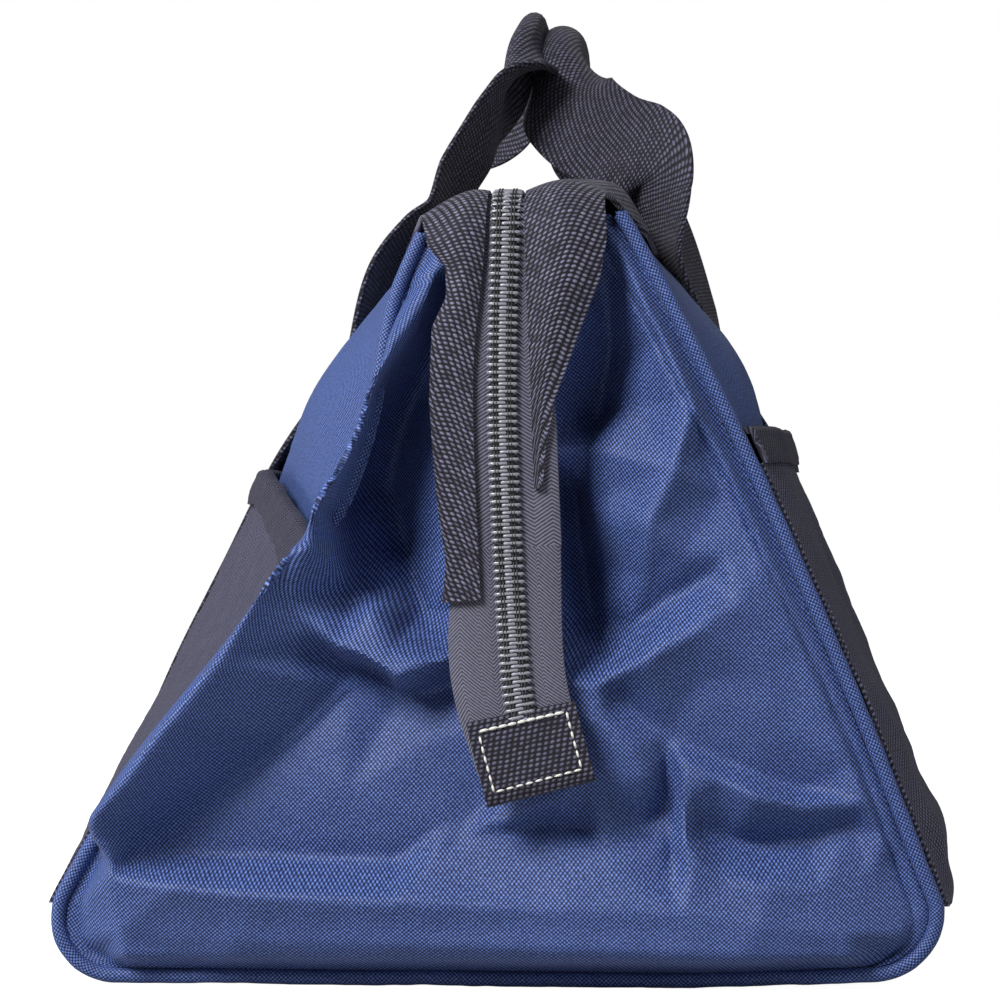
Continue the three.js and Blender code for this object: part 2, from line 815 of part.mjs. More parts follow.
function handle({ side, rising, over, falling }) {
  const onSide = ([share, off, leg]) =>
    sidePoint(side, leg * strapReach, mix(anchorV, 1, share), anchorOff + off);
  const anchors = [-1, 1].map((end) => sidePoint(side, end * strapReach, anchorV, anchorOff));
  for (const anchor of anchors) anchor.z += 3 * gap;
  const spots = [
    anchors[0],
    ...rising.map(onSide),
    ...over.map(([x, z, y]) => new THREE.Vector3(ridgeLean + x, y, crownHeight + z)),
    ...falling.map(onSide),
    anchors[1],
  ];
  const turns = [0, ...rising.map((row) => row[3]), ...over.map((row) => row[3]), ...falling.map((row) => row[3]), 0];
  const path = new THREE.CatmullRomCurve3(spots, false, "centripetal");
  const last = spots.length - 1;
  const section = (t) => {
    const point = path.getPoint(t);
    const tangent = path.getTangent(t);
    const k = Math.min(last - 1, Math.floor(t * last));
    const turn = mix(turns[k], turns[k + 1], t * last - k);
    const folded = smooth(gripFoldStart, gripFoldStart + gripFoldRise, point.z - crownHeight);
    const flat = new THREE.Vector3(1, 0, 0).addScaledVector(tangent, -tangent.x).normalize();
    const width = new THREE.Vector3().crossVectors(flat, tangent);
    width.applyAxisAngle(tangent, (turn * Math.PI) / 2);
    const normal = new THREE.Vector3().crossVectors(tangent, width);
    return {
      point,
      width,
      normal,
      half: mix(strapWidth, gripWidth, folded) / 2,
      thick: mix(strapThickness, gripThickness, folded) / 2,
    };
  };
  const place = (t, v, layer) => {
    const { point, width, normal, half, thick } = section(t);
    return point
      .clone()
      .addScaledVector(width, (2 * v - 1) * half)
      .addScaledVector(normal, layer * thick);
  };
  return sheetSolid(
    evenSteps(40),
    1,
    (t, v) => place(t, v, 1),
    (t, v) => place(t, v, -1),
  );
}

function toManifold(geometry) {
  const bare = geometry.index ? geometry.toNonIndexed() : geometry.clone();
  bare.deleteAttribute("normal");
  bare.deleteAttribute("uv");
  const merged = mergeVertices(bare, 1e-4);
  return new wasm.Manifold(
    new wasm.Mesh({
      numProp: 3,
      vertProperties: merged.attributes.position.array,
      triVerts: new Uint32Array(merged.index.array),
    }),
  );
}

function fromManifold(solid) {
  const mesh = solid.getMesh();
  const geometry = new THREE.BufferGeometry();
  geometry.setAttribute("position", new THREE.BufferAttribute(new Float32Array(mesh.vertProperties), 3));
  geometry.setIndex(new THREE.BufferAttribute(new Uint32Array(mesh.triVerts), 1));
  const faceted = geometry.toNonIndexed();
  faceted.computeVertexNormals();
  return faceted;
}

function extrude(shape, depth, curveSegments = 5) {
  return new THREE.ExtrudeGeometry(shape, { depth, bevelEnabled: false, curveSegments });
}

// Heights of the slider's plates: they run under the tape and over the chain.
const plateUnder = -runningGap;
const plateOver = chainBase + chainThickness + runningGap;
const pullAxisHeight = plateOver + plateThickness + pullAxisRise;

// A slider about its own middle, nose towards +Y, at the height of the tape's underside.
function sliderGeometry() {
  const half = sliderLength / 2;
  const plan = new THREE.Shape();
  plan.moveTo(-sliderTailHalf, -half);
  plan.lineTo(sliderTailHalf, -half);
  plan.lineTo(sliderTailHalf, -1);
  plan.bezierCurveTo(sliderNoseHalf, 2, sliderNoseHalf, half - 2, sliderNoseHalf - 3, half);
  plan.lineTo(-sliderNoseHalf + 3, half);
  plan.bezierCurveTo(-sliderNoseHalf, half - 2, -sliderNoseHalf, 2, -sliderTailHalf, -1);
  const over = extrude(plan, plateThickness).translate(0, 0, plateOver);
  const under = extrude(plan, plateThickness).translate(0, 0, plateUnder - plateThickness);

  const wedge = new THREE.Shape();
  wedge.moveTo(0, half - diamondLength);
  wedge.lineTo(diamondHalf, half - 0.6 * diamondLength);
  wedge.lineTo(diamondHalf, half);
  wedge.lineTo(-diamondHalf, half);
  wedge.lineTo(-diamondHalf, half - 0.6 * diamondLength);
  const lap = 0.5; // how far the wedge, the flanges and the bridge sink into the plates
  const diamond = extrude(wedge, plateOver - plateUnder + 2 * lap).translate(0, 0, plateUnder - lap);

  const flangeInner = chainHalfWidth + 2 * runningGap;
  const flangeHeight = plateOver - chainBase + lap;
  const flanges = [-1, 1].map((side) =>
    new THREE.BoxGeometry(sliderTailHalf - flangeInner, flangeLength, flangeHeight).translate(
      (side * (sliderTailHalf + flangeInner)) / 2,
      -half + flangeLength / 2,
      chainBase + flangeHeight / 2,
    ),
  );

  const arch = new THREE.Shape();
  arch.moveTo(-bridgeHalfLength, -lap);
  arch.lineTo(bridgeHalfLength, -lap);
  arch.lineTo(bridgeHalfLength, bridgeRise - 1.6);
  arch.quadraticCurveTo(bridgeHalfLength - 0.2, bridgeRise, bridgeHalfLength - 1.8, bridgeRise);
  arch.lineTo(-bridgeHalfLength + 1.8, bridgeRise);
  arch.quadraticCurveTo(-bridgeHalfLength + 0.2, bridgeRise, -bridgeHalfLength, bridgeRise - 1.6);
  const windowRise = bridgeRise - 1.5;
  const window = new THREE.Path();
  window.moveTo(-bridgeWindowHalf, 0.2);
  window.lineTo(bridgeWindowHalf, 0.2);
  window.lineTo(bridgeWindowHalf, windowRise);
  window.lineTo(-bridgeWindowHalf, windowRise);
  arch.holes.push(window);
  const bridge = extrude(arch, bridgeWidth)
    .rotateX(Math.PI / 2)
    .rotateZ(Math.PI / 2)
    .translate(-bridgeWidth / 2, 0, plateOver + plateThickness);
  return [over, under, diamond, ...flanges, bridge].map(toManifold).reduce((all, one) => all.add(one));
}

// A pull about its own axis: a plate with a slot for the bridge, pointing towards -Y.
function pullGeometry() {
  const bar = 1;
  const slotHalf = bridgeWidth / 2 + runningGap;
  const slotEnd = bridgeHalfLength + 2.2;
  const plan = new THREE.Shape();
  plan.moveTo(pullHalfWidth - 1, bar);
  plan.lineTo(-pullHalfWidth + 1, bar);
  plan.lineTo(-pullHalfWidth, -0.5 * slotEnd);
  plan.absarc(0, -pullLength + pullHalfWidth, pullHalfWidth, Math.PI, 2 * Math.PI);
  plan.lineTo(pullHalfWidth, -0.5 * slotEnd);
  const slot = new THREE.Path();
  slot.moveTo(-slotHalf, -bar);
  slot.lineTo(slotHalf, -bar);
  slot.lineTo(slotHalf, -slotEnd);
  slot.lineTo(-slotHalf, -slotEnd);
  plan.holes.push(slot);
  const eye = new THREE.Path();
  eye.absarc(0, -pullLength + pullHalfWidth, 0.45 * pullHalfWidth, 0, 2 * Math.PI);
  plan.holes.push(eye);
  return extrude(plan, pullThickness).translate(0, 0, -pullThickness / 2);
}

// Base and ends
addPiece("base_panel", basePanel(), charcoal);
addPiece("base_board", baseBoard(), boardGrey);
for (const [word, end] of [
  ["front", -1],
  ["rear", 1],
]) {
  addPiece(`${word}_gusset`, gusset(end), navy);
  addPiece(`${word}_piping`, piping(end), navy);
  for (const [hand, side] of [
    ["left", -1],
    ["right", 1],
  ]) {
    addPiece(`${word}_drop_tape_${hand}`, dropTape(side, end), tape);
    addPiece(`${word}_drop_coil_${hand}`, tongueChain(side, end, shareOf(gap), hingeShare), nylon);
    addPiece(`${word}_drop_webbing_${hand}`, dropWebbing(side, end), webbing);
    addPiece(`${word}_tail_tape_${hand}`, tailTape(side, end), tape);
    addPiece(`${word}_tail_coil_${hand}`, tongueChain(side, end, tailStart, tabRoof - shareOf(gap)), nylon);
  }
  addPiece(`${word}_end_tab`, endTab(end), webbing);
}

// Long sides
for (const [hand, side] of [
  ["left", -1],
  ["right", 1],
]) {
  addPiece(`side_panel_${hand}`, sidePanel(side), navy);
  addPiece(`pocket_${hand}`, pocket(side), charcoal);
  addPiece(`pocket_hem_${hand}`, pocketHem(side), charcoal);
  addPiece(`rim_webbing_${hand}`, rimWebbing(side), webbing);
  addPiece(`zip_tape_${hand}`, ridgeTape(side), tape);
  addPiece(`zip_coil_${hand}`, ridgeChain(side), nylon);
  addPiece(`strap_${hand}_front`, sewnStrap(side, -1), webbing);
  addPiece(`strap_${hand}_rear`, sewnStrap(side, 1), webbing);
  addPiece(`handle_${hand}`, handle(handleShapes[hand]), webbing);
}

// Sliders, nose to nose in the middle of the ridge, with their pulls lying outwards
const sliderSolid = sliderGeometry();
for (const [word, end] of [
  ["front", -1],
  ["rear", 1],
]) {
  const y = end * (noseGap / 2 + sliderLength / 2);
  const slider = addPiece(`${word}_slider`, fromManifold(sliderSolid), darkMetal);
  slider.position.set(ridgeLean, y, tapeHeight);
  if (end > 0) slider.rotation.z = Math.PI;
  const pull = addPiece(`${word}_pull`, pullGeometry(), darkMetal);
  pull.position.set(ridgeLean, y, tapeHeight + pullAxisHeight);
  if (end > 0) pull.rotation.z = Math.PI;
}

export default bag;
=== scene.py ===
"""Looks of a soft zippered tool bag with two folded-in ends, outer pockets and webbing handles.

Values are in millimetres, with +Z up, +Y along the bag and the photographed end at -Y. A mesh is put
into metres where it is made. A value named side is -1 on the left and +1 on the right, and a value
named end is -1 at the front and +1 at the rear.
"""
import math

import bmesh
import bpy
import numpy as np
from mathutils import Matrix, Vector
from mathutils.geometry import delaunay_2d_cdt


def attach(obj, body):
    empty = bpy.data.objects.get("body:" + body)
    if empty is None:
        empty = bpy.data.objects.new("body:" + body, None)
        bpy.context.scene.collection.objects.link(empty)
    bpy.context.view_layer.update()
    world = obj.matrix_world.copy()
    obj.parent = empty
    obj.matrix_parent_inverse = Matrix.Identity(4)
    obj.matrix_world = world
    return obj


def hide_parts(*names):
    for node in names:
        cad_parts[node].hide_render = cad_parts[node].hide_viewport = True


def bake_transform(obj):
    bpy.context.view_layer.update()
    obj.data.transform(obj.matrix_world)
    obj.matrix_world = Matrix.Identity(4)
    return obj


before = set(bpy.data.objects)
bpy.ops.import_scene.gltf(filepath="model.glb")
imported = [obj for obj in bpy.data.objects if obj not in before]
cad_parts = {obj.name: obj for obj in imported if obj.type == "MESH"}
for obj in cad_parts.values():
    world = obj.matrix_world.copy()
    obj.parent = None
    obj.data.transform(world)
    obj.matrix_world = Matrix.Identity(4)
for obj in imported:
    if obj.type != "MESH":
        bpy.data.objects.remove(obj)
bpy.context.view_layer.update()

# Body of the bag
GAP = 0.35
HALF_LENGTH = 222.0
HALF_BASE = 143.0
BASE_WALL = 25.0
BASE_CORNER = 22.0
BASE_THICKNESS = 2.5
PANEL_THICKNESS = 3.0
SIDE_START = BASE_WALL + GAP
RIM_HEIGHT = 247.0
HIP_HEIGHT, SHOULDER_HEIGHT = 95.0, 195.0
END_HIP, END_SHOULDER = 118.0, 69.0
MIDDLE_HIP, MIDDLE_SHOULDER = 128.0, 77.0
RIM_HALF = 33.0
RIDGE_X = 5.0
RIM_X = 9.0
BULGE_POWER = 2.5
TUCK_DEPTH, TUCK_HEIGHT, TUCK_SPREAD, TUCK_REACH, TUCK_ROOT = 34.0, 150.0, 80.0, 70.0, 60.0
# How far the left shoulder of the front end sinks, its bottom right corner is pulled up and its
# bottom left corner is drawn in
SHOULDER_SINK, CORNER_PULL, CORNER_DRAW = 7.5, 3.0, 2.5

# Ends
GUSSET_THICKNESS = 2.2
# The end's cloth itself, and how far its slumped left edge hangs over the seam
END_CLOTH = 0.9
OVERHANG, OVERHANG_PLACE = 14.0, 7
# The cloth stays this far behind the tapes, over this way to both sides of the zip, and turns in by
# this much at its top
BEHIND_TAPE, ZIP_ZONE, TOP_TURN = 1.6, 24, 9
PIPING_RADIUS = 2.2
GUSSET_INSET = 2 * PIPING_RADIUS + 2 * GAP
GUSSET_TOP = RIM_HEIGHT - 0.5
SEAM_OUT = GAP + GUSSET_THICKNESS
# How far the pieces reach into each other at the end seams, so that no light shows through
SEAM_BITE = 0.25

# Zip
TURN_PITCH = 2.4
CHAIN_HALF = 5.0
# How far each half of the chain stands aside round the sliders
CHAIN_BOW = 3.5
WIRE_RADIUS, WIRE_HEAD = 0.5, 0.1
# The cord in a coil: its place across, its height over the chain's base and its half sizes
FILLER_PLACE, FILLER_LIFT, FILLER_HALF = 2.1, 0.9, (1.5, 0.62)
# The threads over a coil: their places across, their height, how far they rise and fall, their radius
THREAD_PLACES, THREAD_LIFT, THREAD_WAVE, THREAD_RADIUS = (1.8, 2.7), 2.15, 0.3, 0.2
TAPE_THICKNESS = 1.0
# Edges of a tape from the middle of the chain: the inner one, and the outer one on the ridge and below
TAPE_INNER, TAPE_OUTER, TAPE_OUTER_LOW = 1.0, 11.0, 17.0
CHAIN_BASE = TAPE_THICKNESS + 0.3
TAPE_HEIGHT = 251.0
RIDGE_HALF = HALF_LENGTH - 12.0
TAIL_SPLIT_Z = 140.0
TAB_HEIGHT = 25.5
# How far under the tab's upper edge the coil ends
TAB_CLEARANCE = 4
TAB_WIDTH = 34.5
TAB_LAYER = 1.8
TAB_LIFT = TAPE_THICKNESS + 0.6
RIM_WEBBING_THICKNESS = 1.7

# Pockets and handles
POCKET_THICKNESS = 1.6
HEM_DEPTH = 9.5
STRAP_WIDTH = 38.0
STRAP_THICKNESS = 2.2
STRAP_REACH = 95.0
ANCHOR_HEIGHT = 205.0
STRAP_OFFSET = 4.15
CROWN = 258.75

# Weaves. The cloth's real grain of about 0.85 mm is too fine for the picture. It is drawn at 1.4 mm,
# and at 2 mm on the steep sides.
CLOTH_PITCH = 1.4
STEEP_PITCH = 2.0
BOARD_PITCH = 1.6
# A float of the webbing, across and along it
HANDLE_FLOAT = (2.0, 1.5)
RIM_FLOAT = (2.1, 1.5)
# The ribs of the zip tape, and the columns in which their slope turns
TAPE_RIB = 1.2
TAPE_COLUMN = 6.0
# The plies of the sewing threads
FINE_PLY, COARSE_PLY = 0.6, 0.8


def mix(a, b, t):
    """a where t is 0, b where t is 1, and a straight line between them."""
    return a + (b - a) * t


def smooth(a, b, value):
    """0 below a, 1 above b, and 3t^2 - 2t^3 between them."""
    t = np.clip((value - a) / (b - a), 0.0, 1.0)
    return t * t * (3 - 2 * t)


def bump(value, centre, spread):
    """exp of minus the squared distance from the centre, measured in spreads."""
    return np.exp(-(((value - centre) / spread) ** 2))


def bezier(a, b, c, d, t):
    """Cubic Bezier curve from a at 0 to d at 1, drawn towards b first and c then."""
    r = 1 - t
    return a * r**3 + 3 * b * r * r * t + 3 * c * r * t * t + d * t**3


def ripple(a, b, size, seed, octaves=3):
    """A smooth unevenness between about -1 and 1: sines of turning direction, each 1.45 times finer and
    1.4 times weaker than the last. size is the longest wave."""
    total = np.zeros(np.broadcast(a, b).shape)
    for k in range(octaves * 3):
        turn = 2.4 * k + 0.7 * seed
        wave = size / 1.45**k * (1 + 0.2 * math.sin(5 * k + seed))
        phase = 1.9 * k * k + 3.1 * seed
        total += np.sin((a * math.cos(turn) + b * math.sin(turn)) * 2 * math.pi / wave + phase) / 1.4**k
    return total / 2.2


# Long sides
def side_height(v):
    """Height of a long side at v: a Bezier curve from the base at 0 to the rim at 1."""
    return bezier(SIDE_START, HIP_HEIGHT, SHOULDER_HEIGHT, RIM_HEIGHT, v)


PROFILE_V = np.linspace(0, 1, 2001)
PROFILE_Z = side_height(PROFILE_V)


def profile_at(z):
    """The v at which a long side reaches a height."""
    return np.interp(z, PROFILE_Z, PROFILE_V)


def side_x(side, y, v):
    """X of a long side: a mix of the end's and the middle's curves by 1 - |y|^2.5, plus lean and tuck."""
    fullness = 1 - np.minimum(1, np.abs(y) / HALF_LENGTH) ** BULGE_POWER
    at_end = bezier(HALF_BASE, END_HIP, END_SHOULDER, RIM_HALF, v)
    at_middle = bezier(HALF_BASE, MIDDLE_HIP, MIDDLE_SHOULDER, RIM_HALF, v)
    lean = bezier(0, 0, 0.6 * RIM_X, RIM_X, v)
    z = side_height(v)
    tuck = TUCK_DEPTH * bump(z, TUCK_HEIGHT, TUCK_SPREAD) * bump(y, -HALF_LENGTH, TUCK_REACH)
    tuck = tuck * smooth(SIDE_START, TUCK_ROOT, z) * (1 - v**6) if side < 0 else 0.0
    return side * mix(at_end, at_middle, fullness) + lean + tuck


def outline_x(side, end, z, inset):
    """X of the end outline's edge at a height, brought in by an inset."""
    upper = side_x(side, end * HALF_LENGTH, profile_at(np.minimum(z, RIM_HEIGHT))) - side * inset
    radius = BASE_CORNER - inset
    down = np.clip(BASE_CORNER - z, 0, radius)
    lower = side * (HALF_BASE - BASE_CORNER + np.sqrt(np.maximum(radius**2 - down**2, 0)))
    return np.where(z >= SIDE_START, upper, lower)


# Paths
def smooth_path(spots, per_span=24):
    """Centripetal Catmull-Rom curve through the spots, as points close together.

    Its knots lie apart by the root of each span, and each span is a cubic Hermite curve."""
    p = np.asarray(spots, float)
    p = np.vstack([2 * p[0] - p[1], p, 2 * p[-1] - p[-2]])
    knots = np.sqrt(np.linalg.norm(np.diff(p, axis=0), axis=1))
    made = []
    t = np.linspace(0, 1, per_span, endpoint=False)[:, None]
    for i in range(1, len(p) - 2):
        a, b, c = knots[i - 1], knots[i], knots[i + 1]
        start = (p[i] - p[i - 1]) / a - (p[i + 1] - p[i - 1]) / (a + b) + (p[i + 1] - p[i]) / b
        stop = (p[i + 1] - p[i]) / b - (p[i + 2] - p[i]) / (b + c) + (p[i + 2] - p[i + 1]) / c
        start, stop = start * b, stop * b
        rise = p[i + 1] - p[i]
        square = 3 * rise - 2 * start - stop
        cube = start + stop - 2 * rise
        made.append(p[i] + start * t + square * t**2 + cube * t**3)
    return np.vstack([*made, p[-2:-1]])


def lengths(path):
    """Distance of each point of a path from its start."""
    return np.concatenate([[0], np.cumsum(np.linalg.norm(np.diff(path, axis=0), axis=1))])


def at_lengths(path, s):
    """Points of a path at distances from its start."""
    run = lengths(path)
    return np.stack([np.interp(s, run, path[:, k]) for k in range(3)], -1)


def unit(v):
    """Vectors divided by their lengths."""
    return v / np.maximum(np.linalg.norm(v, axis=-1, keepdims=True), 1e-12)


def tongue_path(end):
    """Centre of the tape's underside, from the middle of the ridge over the end and down to the tab: a
    straight line, a quarter circle and a smooth curve through spots of X, way out of the seam and Z."""
    nose = 14.0
    arc = [
        [RIDGE_X, 9 - nose + nose * math.cos(a), TAPE_HEIGHT - nose + nose * math.sin(a)]
        for a in np.linspace(math.pi / 2, 0, 5)
    ]
    spots = [
        [RIDGE_X, -12, TAPE_HEIGHT],
        *arc,
        [RIDGE_X - 0.7, mix(9, 13, 0.6), mix(TAPE_HEIGHT - nose, 182, 0.5)],
        [RIDGE_X - 0.7, 13, 182],
        [RIDGE_X + 0.5, 15, 152],
        [RIDGE_X + 2.16, 17, 122],
        [RIDGE_X + 5.0, 22, 92],
        [RIDGE_X + 12.2, 27, 64.2],
    ]
    curve = smooth_path([[x, end * (HALF_LENGTH + out), z] for x, out, z in spots])
    ridge = np.array([[RIDGE_X, y, TAPE_HEIGHT] for y in np.linspace(0, end * RIDGE_HALF, 60)])
    return np.vstack([ridge[:-1], curve])


PATHS = {-1: tongue_path(-1), 1: tongue_path(1)}
PATH_LENGTH = lengths(PATHS[-1])[-1]


def length_at_height(z):
    """Distance along the zip's path at which it has come down to a height."""
    path, run = PATHS[-1], lengths(PATHS[-1])
    return float(np.interp(-z, -path[:, 2], run))


SPLIT = length_at_height(TAIL_SPLIT_Z)
TAB_ROOF = PATH_LENGTH - TAB_HEIGHT


def frames(end, s):
    """Points on the zip's path, with the directions to the right and out of the bag."""
    path = PATHS[end]
    points = at_lengths(path, s)
    ahead = at_lengths(path, np.clip(s + 0.6, 0, PATH_LENGTH))
    behind = at_lengths(path, np.clip(s - 0.6, 0, None))
    tangents = unit(ahead - behind)
    right = unit(np.array([1.0, 0, 0]) - tangents * tangents[:, :1])
    out = np.cross(tangents, right)
    flip = np.where(out[:, 1] * end + out[:, 2] < 0, -1.0, 1.0)
    return points, right, out * flip[:, None]


def tongue_out(z):
    """How far the zip's path stands out of the end seam at a height."""
    path = PATHS[-1]
    below = path[:, 2] < TAPE_HEIGHT - 0.5
    return np.interp(-z, -path[below, 2], -path[below, 1] - HALF_LENGTH)


def zip_x(z):
    """X of the zip's path at a height."""
    path = PATHS[-1]
    return np.interp(-z, -path[:, 2], path[:, 0])


# Meshes
def quads(rows, columns, start=0):
    """Corner numbers of the quads of a grid that is stored row by row."""
    i, j = np.meshgrid(np.arange(rows - 1), np.arange(columns - 1), indexing="ij")
    a = start + i * columns + j
    return np.stack([a, a + columns, a + columns + 1, a + 1], -1).reshape(-1, 4)


def volume(points, faces):
    """Six times the signed volume that the quads enclose."""
    a, b, c, d = (points[faces[:, k]] for k in range(4))
    return float((np.cross(a, b) * c).sum() + (np.cross(a, c) * d).sum())


def slumped(points):
    """Lets the front end of the bag settle: a shoulder sinks and two bottom corners are drawn in. All
    three die out along the bag within a few centimetres, by a bump over Y."""
    x, y, z = points.T
    near = bump(y, -HALF_LENGTH - 12, 52)
    sink = SHOULDER_SINK * smooth(-2, -25, x) * smooth(205, 250, z) * (1 - smooth(262, 275, z))
    pull = CORNER_PULL * smooth(60, 140, x) * (1 - smooth(5, 40, z))
    draw = CORNER_DRAW * smooth(-105, -140, x) * bump(z, 36, 18)
    return points + np.stack([near * draw, 0 * x, near * (pull - sink)], -1)


def make_piece(name, points, faces, uv, material, sharp, weld=False):
    """A mesh object at the origin from millimetre points, quads and one cloth coordinate per point.
    Edges that turn by more than sharp degrees stay sharp."""
    points = slumped(points)
    mesh = bpy.data.meshes.new(name)
    mesh.vertices.add(len(points))
    mesh.vertices.foreach_set("co", (points * 0.001).astype(np.float32).ravel())
    mesh.loops.add(faces.size)
    mesh.loops.foreach_set("vertex_index", faces.astype(np.int32).ravel())
    mesh.polygons.add(len(faces))
    mesh.polygons.foreach_set("loop_start", np.arange(0, faces.size, 4, dtype=np.int32))
    layer = mesh.uv_layers.new(name="cloth")
    layer.data.foreach_set("uv", uv[faces.ravel()].astype(np.float32).ravel())
    mesh.update(calc_edges=True)
    if weld:
        bm = bmesh.new()
        bm.from_mesh(mesh)
        bmesh.ops.remove_doubles(bm, verts=bm.verts, dist=2e-6)
        bm.to_mesh(mesh)
        bm.free()
    mesh.validate()
    mesh.shade_smooth()
    mesh.set_sharp_from_angle(angle=math.radians(sharp))
    mesh.materials.append(material)
    made = bpy.data.objects.new(name, mesh)
    bpy.context.scene.collection.objects.link(made)
    return made


def cloth_lengths(points):
    """Distances over a grid's surface: along its first axis, and along its second."""
    across = np.zeros(points.shape[:2])
    across[1:] = np.cumsum(np.linalg.norm(np.diff(points, axis=0), axis=-1), axis=0)
    up = np.zeros(points.shape[:2])
    up[:, 1:] = np.cumsum(np.linalg.norm(np.diff(points, axis=1), axis=-1), axis=1)
    return np.stack([across, up], -1)


def surface_normals(points):
    """Unit normals of a grid: the cross product of its slopes along both axes."""
    du = np.gradient(points, axis=0)
    dv = np.gradient(points, axis=1)
    return unit(np.cross(du, dv))


def shell(name, outer, inner, material, cloth=None):
    """A closed sheet of cloth between two grids, with its four edges joined.

    The inner skin's weave is 1 mm further on, so that it runs over the edges."""
    n, m = outer.shape[:2]
    points = np.vstack([outer.reshape(-1, 3), inner.reshape(-1, 3)])
    uv = (cloth_lengths(outer) if cloth is None else cloth).reshape(-1, 2)
    count = n * m
    front = quads(n, m)
    back = quads(n, m, count)[:, ::-1]
    number = np.arange(count).reshape(n, m)
    edges = [number[:, 0][::-1], number[:, -1], number[0, :], number[-1, :][::-1]]
    sides = [np.stack([e[:-1], e[1:], e[1:] + count, e[:-1] + count], -1) for e in edges]
    faces = np.vstack([front, back, *sides])
    if volume(points, faces) < 0:
        faces = faces[:, ::-1]
    return make_piece(name, points, faces, np.vstack([uv, uv + 1.0]), material, sharp=50)


def tube(name, rings, material):
    """A closed tube from rings of points, (stations, points round, 3), whose ends come to a point.

    Its cloth coordinates are the way round the middle ring and the way along the rings' centres."""
    rings = np.concatenate([rings, rings[:, :1]], axis=1)
    first = np.broadcast_to(rings[0, :-1].mean(0), rings[0].shape)[None]
    last = np.broadcast_to(rings[-1, :-1].mean(0), rings[-1].shape)[None]
    rings = np.concatenate([first, rings, last])
    n, m = rings.shape[:2]
    run = lengths(rings[:, :-1].mean(1))
    girth = np.broadcast_to(lengths(rings[n // 2]), (n, m))
    uv = np.stack([girth, np.broadcast_to(run[:, None], (n, m))], -1).reshape(-1, 2)
    points = rings.reshape(-1, 3)
    faces = quads(n, m)
    if volume(points, faces) < 0:
        faces = faces[:, ::-1]
    return make_piece(name, points, faces, uv, material, sharp=60, weld=True)


def round_rings(centre, first, second, radius, count):
    """Circles round the points of a path: cos of the turn along one direction, sin along the other."""
    turn = np.linspace(0, 2 * math.pi, count, endpoint=False)[None, :, None]
    return centre[:, None] + radius * (np.cos(turn) * first[:, None] + np.sin(turn) * second[:, None])


def band_rings(centre, across, up, left, right, thickness, edge):
    """Rings of a flat strip with rounded edges: each of their points has a share of the way from left to
    right and a share of the thickness, and those next to an edge keep a set distance from it."""
    share = np.array([0.5, 0.35, 0.15, 0.0, 0.0, 0.15, 0.35, 0.5, 0.65, 0.85, 1.0, 1.0, 0.85, 0.65])
    height = np.array([1, 1, 1, 0.8, 0.2, 0, 0, 0, 0, 0, 0.2, 0.8, 1, 1])
    flat = left[:, None] + (right - left)[:, None] * share
    flat[:, [2, 5]] = (left + edge)[:, None]
    flat[:, [9, 12]] = (right - edge)[:, None]
    lift = (thickness * height)[:, None]
    return centre[:, None] + across[:, None] * flat[..., None] + up[:, None] * lift


def join(name, parts):
    """One object out of several with the same material."""
    bm = bmesh.new()
    for part in parts:
        bm.from_mesh(part.data)
    bm.to_mesh(parts[0].data)
    bm.free()
    for part in parts[1:]:
        bpy.data.objects.remove(part)
    parts[0].name = name
    return parts[0]


# Materials. Cloth coordinates are in millimetres, Object coordinates and the depth of a bump in metres.
def linear(hex_colour):
    """An sRGB hex value as linear red, green, blue and alpha."""
    parts = [int(hex_colour[i : i + 2], 16) / 255 for i in (1, 3, 5)]
    return [c / 12.92 if c <= 0.04045 else ((c + 0.055) / 1.055) ** 2.4 for c in parts] + [1.0]


def new_material(name):
    """A material whose tree holds a Principled shader and the output."""
    material = bpy.data.materials.new(name)
    material.use_nodes = True
    tree = material.node_tree
    tree.nodes.clear()
    output = add_node(tree, "ShaderNodeOutputMaterial")
    shader = add_node(tree, "ShaderNodeBsdfPrincipled")
    tree.links.new(shader.outputs["BSDF"], output.inputs["Surface"])
    return material, tree, shader


def add_node(tree, kind, links=None, values=None, **settings):
    """Adds a node with its settings, its input values and what is linked to its inputs."""
    node = tree.nodes.new(kind)
    for key, value in settings.items():
        setattr(node, key, value)
    for key, value in (values or {}).items():
        node.inputs[key].default_value = value
    for key, source in (links or {}).items():
        tree.links.new(source, node.inputs[key])
    return node


def math_node(tree, operation, a, b=None, c=None, clamp=False):
    """The output of a Math node whose inputs are sockets or numbers."""
    links = {k: x for k, x in enumerate((a, b, c)) if x is not None and not isinstance(x, (int, float))}
    values = {k: x for k, x in enumerate((a, b, c)) if isinstance(x, (int, float))}
    return add_node(tree, "ShaderNodeMath", links, values, operation=operation, use_clamp=clamp).outputs[0]


def cloth_coordinates(tree):
    """The two cloth coordinates, in millimetres across and along."""
    uv = add_node(tree, "ShaderNodeUVMap", uv_map="cloth")
    parts = add_node(tree, "ShaderNodeSeparateXYZ", {0: uv.outputs["UV"]})
    return uv.outputs["UV"], parts.outputs["X"], parts.outputs["Y"]


def colour_ramp(tree, factor, stops):
    """Colours that change with a factor, through stops of a place and a hex value."""
    ramp = add_node(tree, "ShaderNodeValToRGB", {0: factor})
    elements = ramp.color_ramp.elements
    while len(elements) < len(stops):
        elements.new(0.5)
    for element, (position, colour) in zip(elements, stops):
        element.position = position
        element.color = linear(colour)
    return ramp.outputs["Color"]


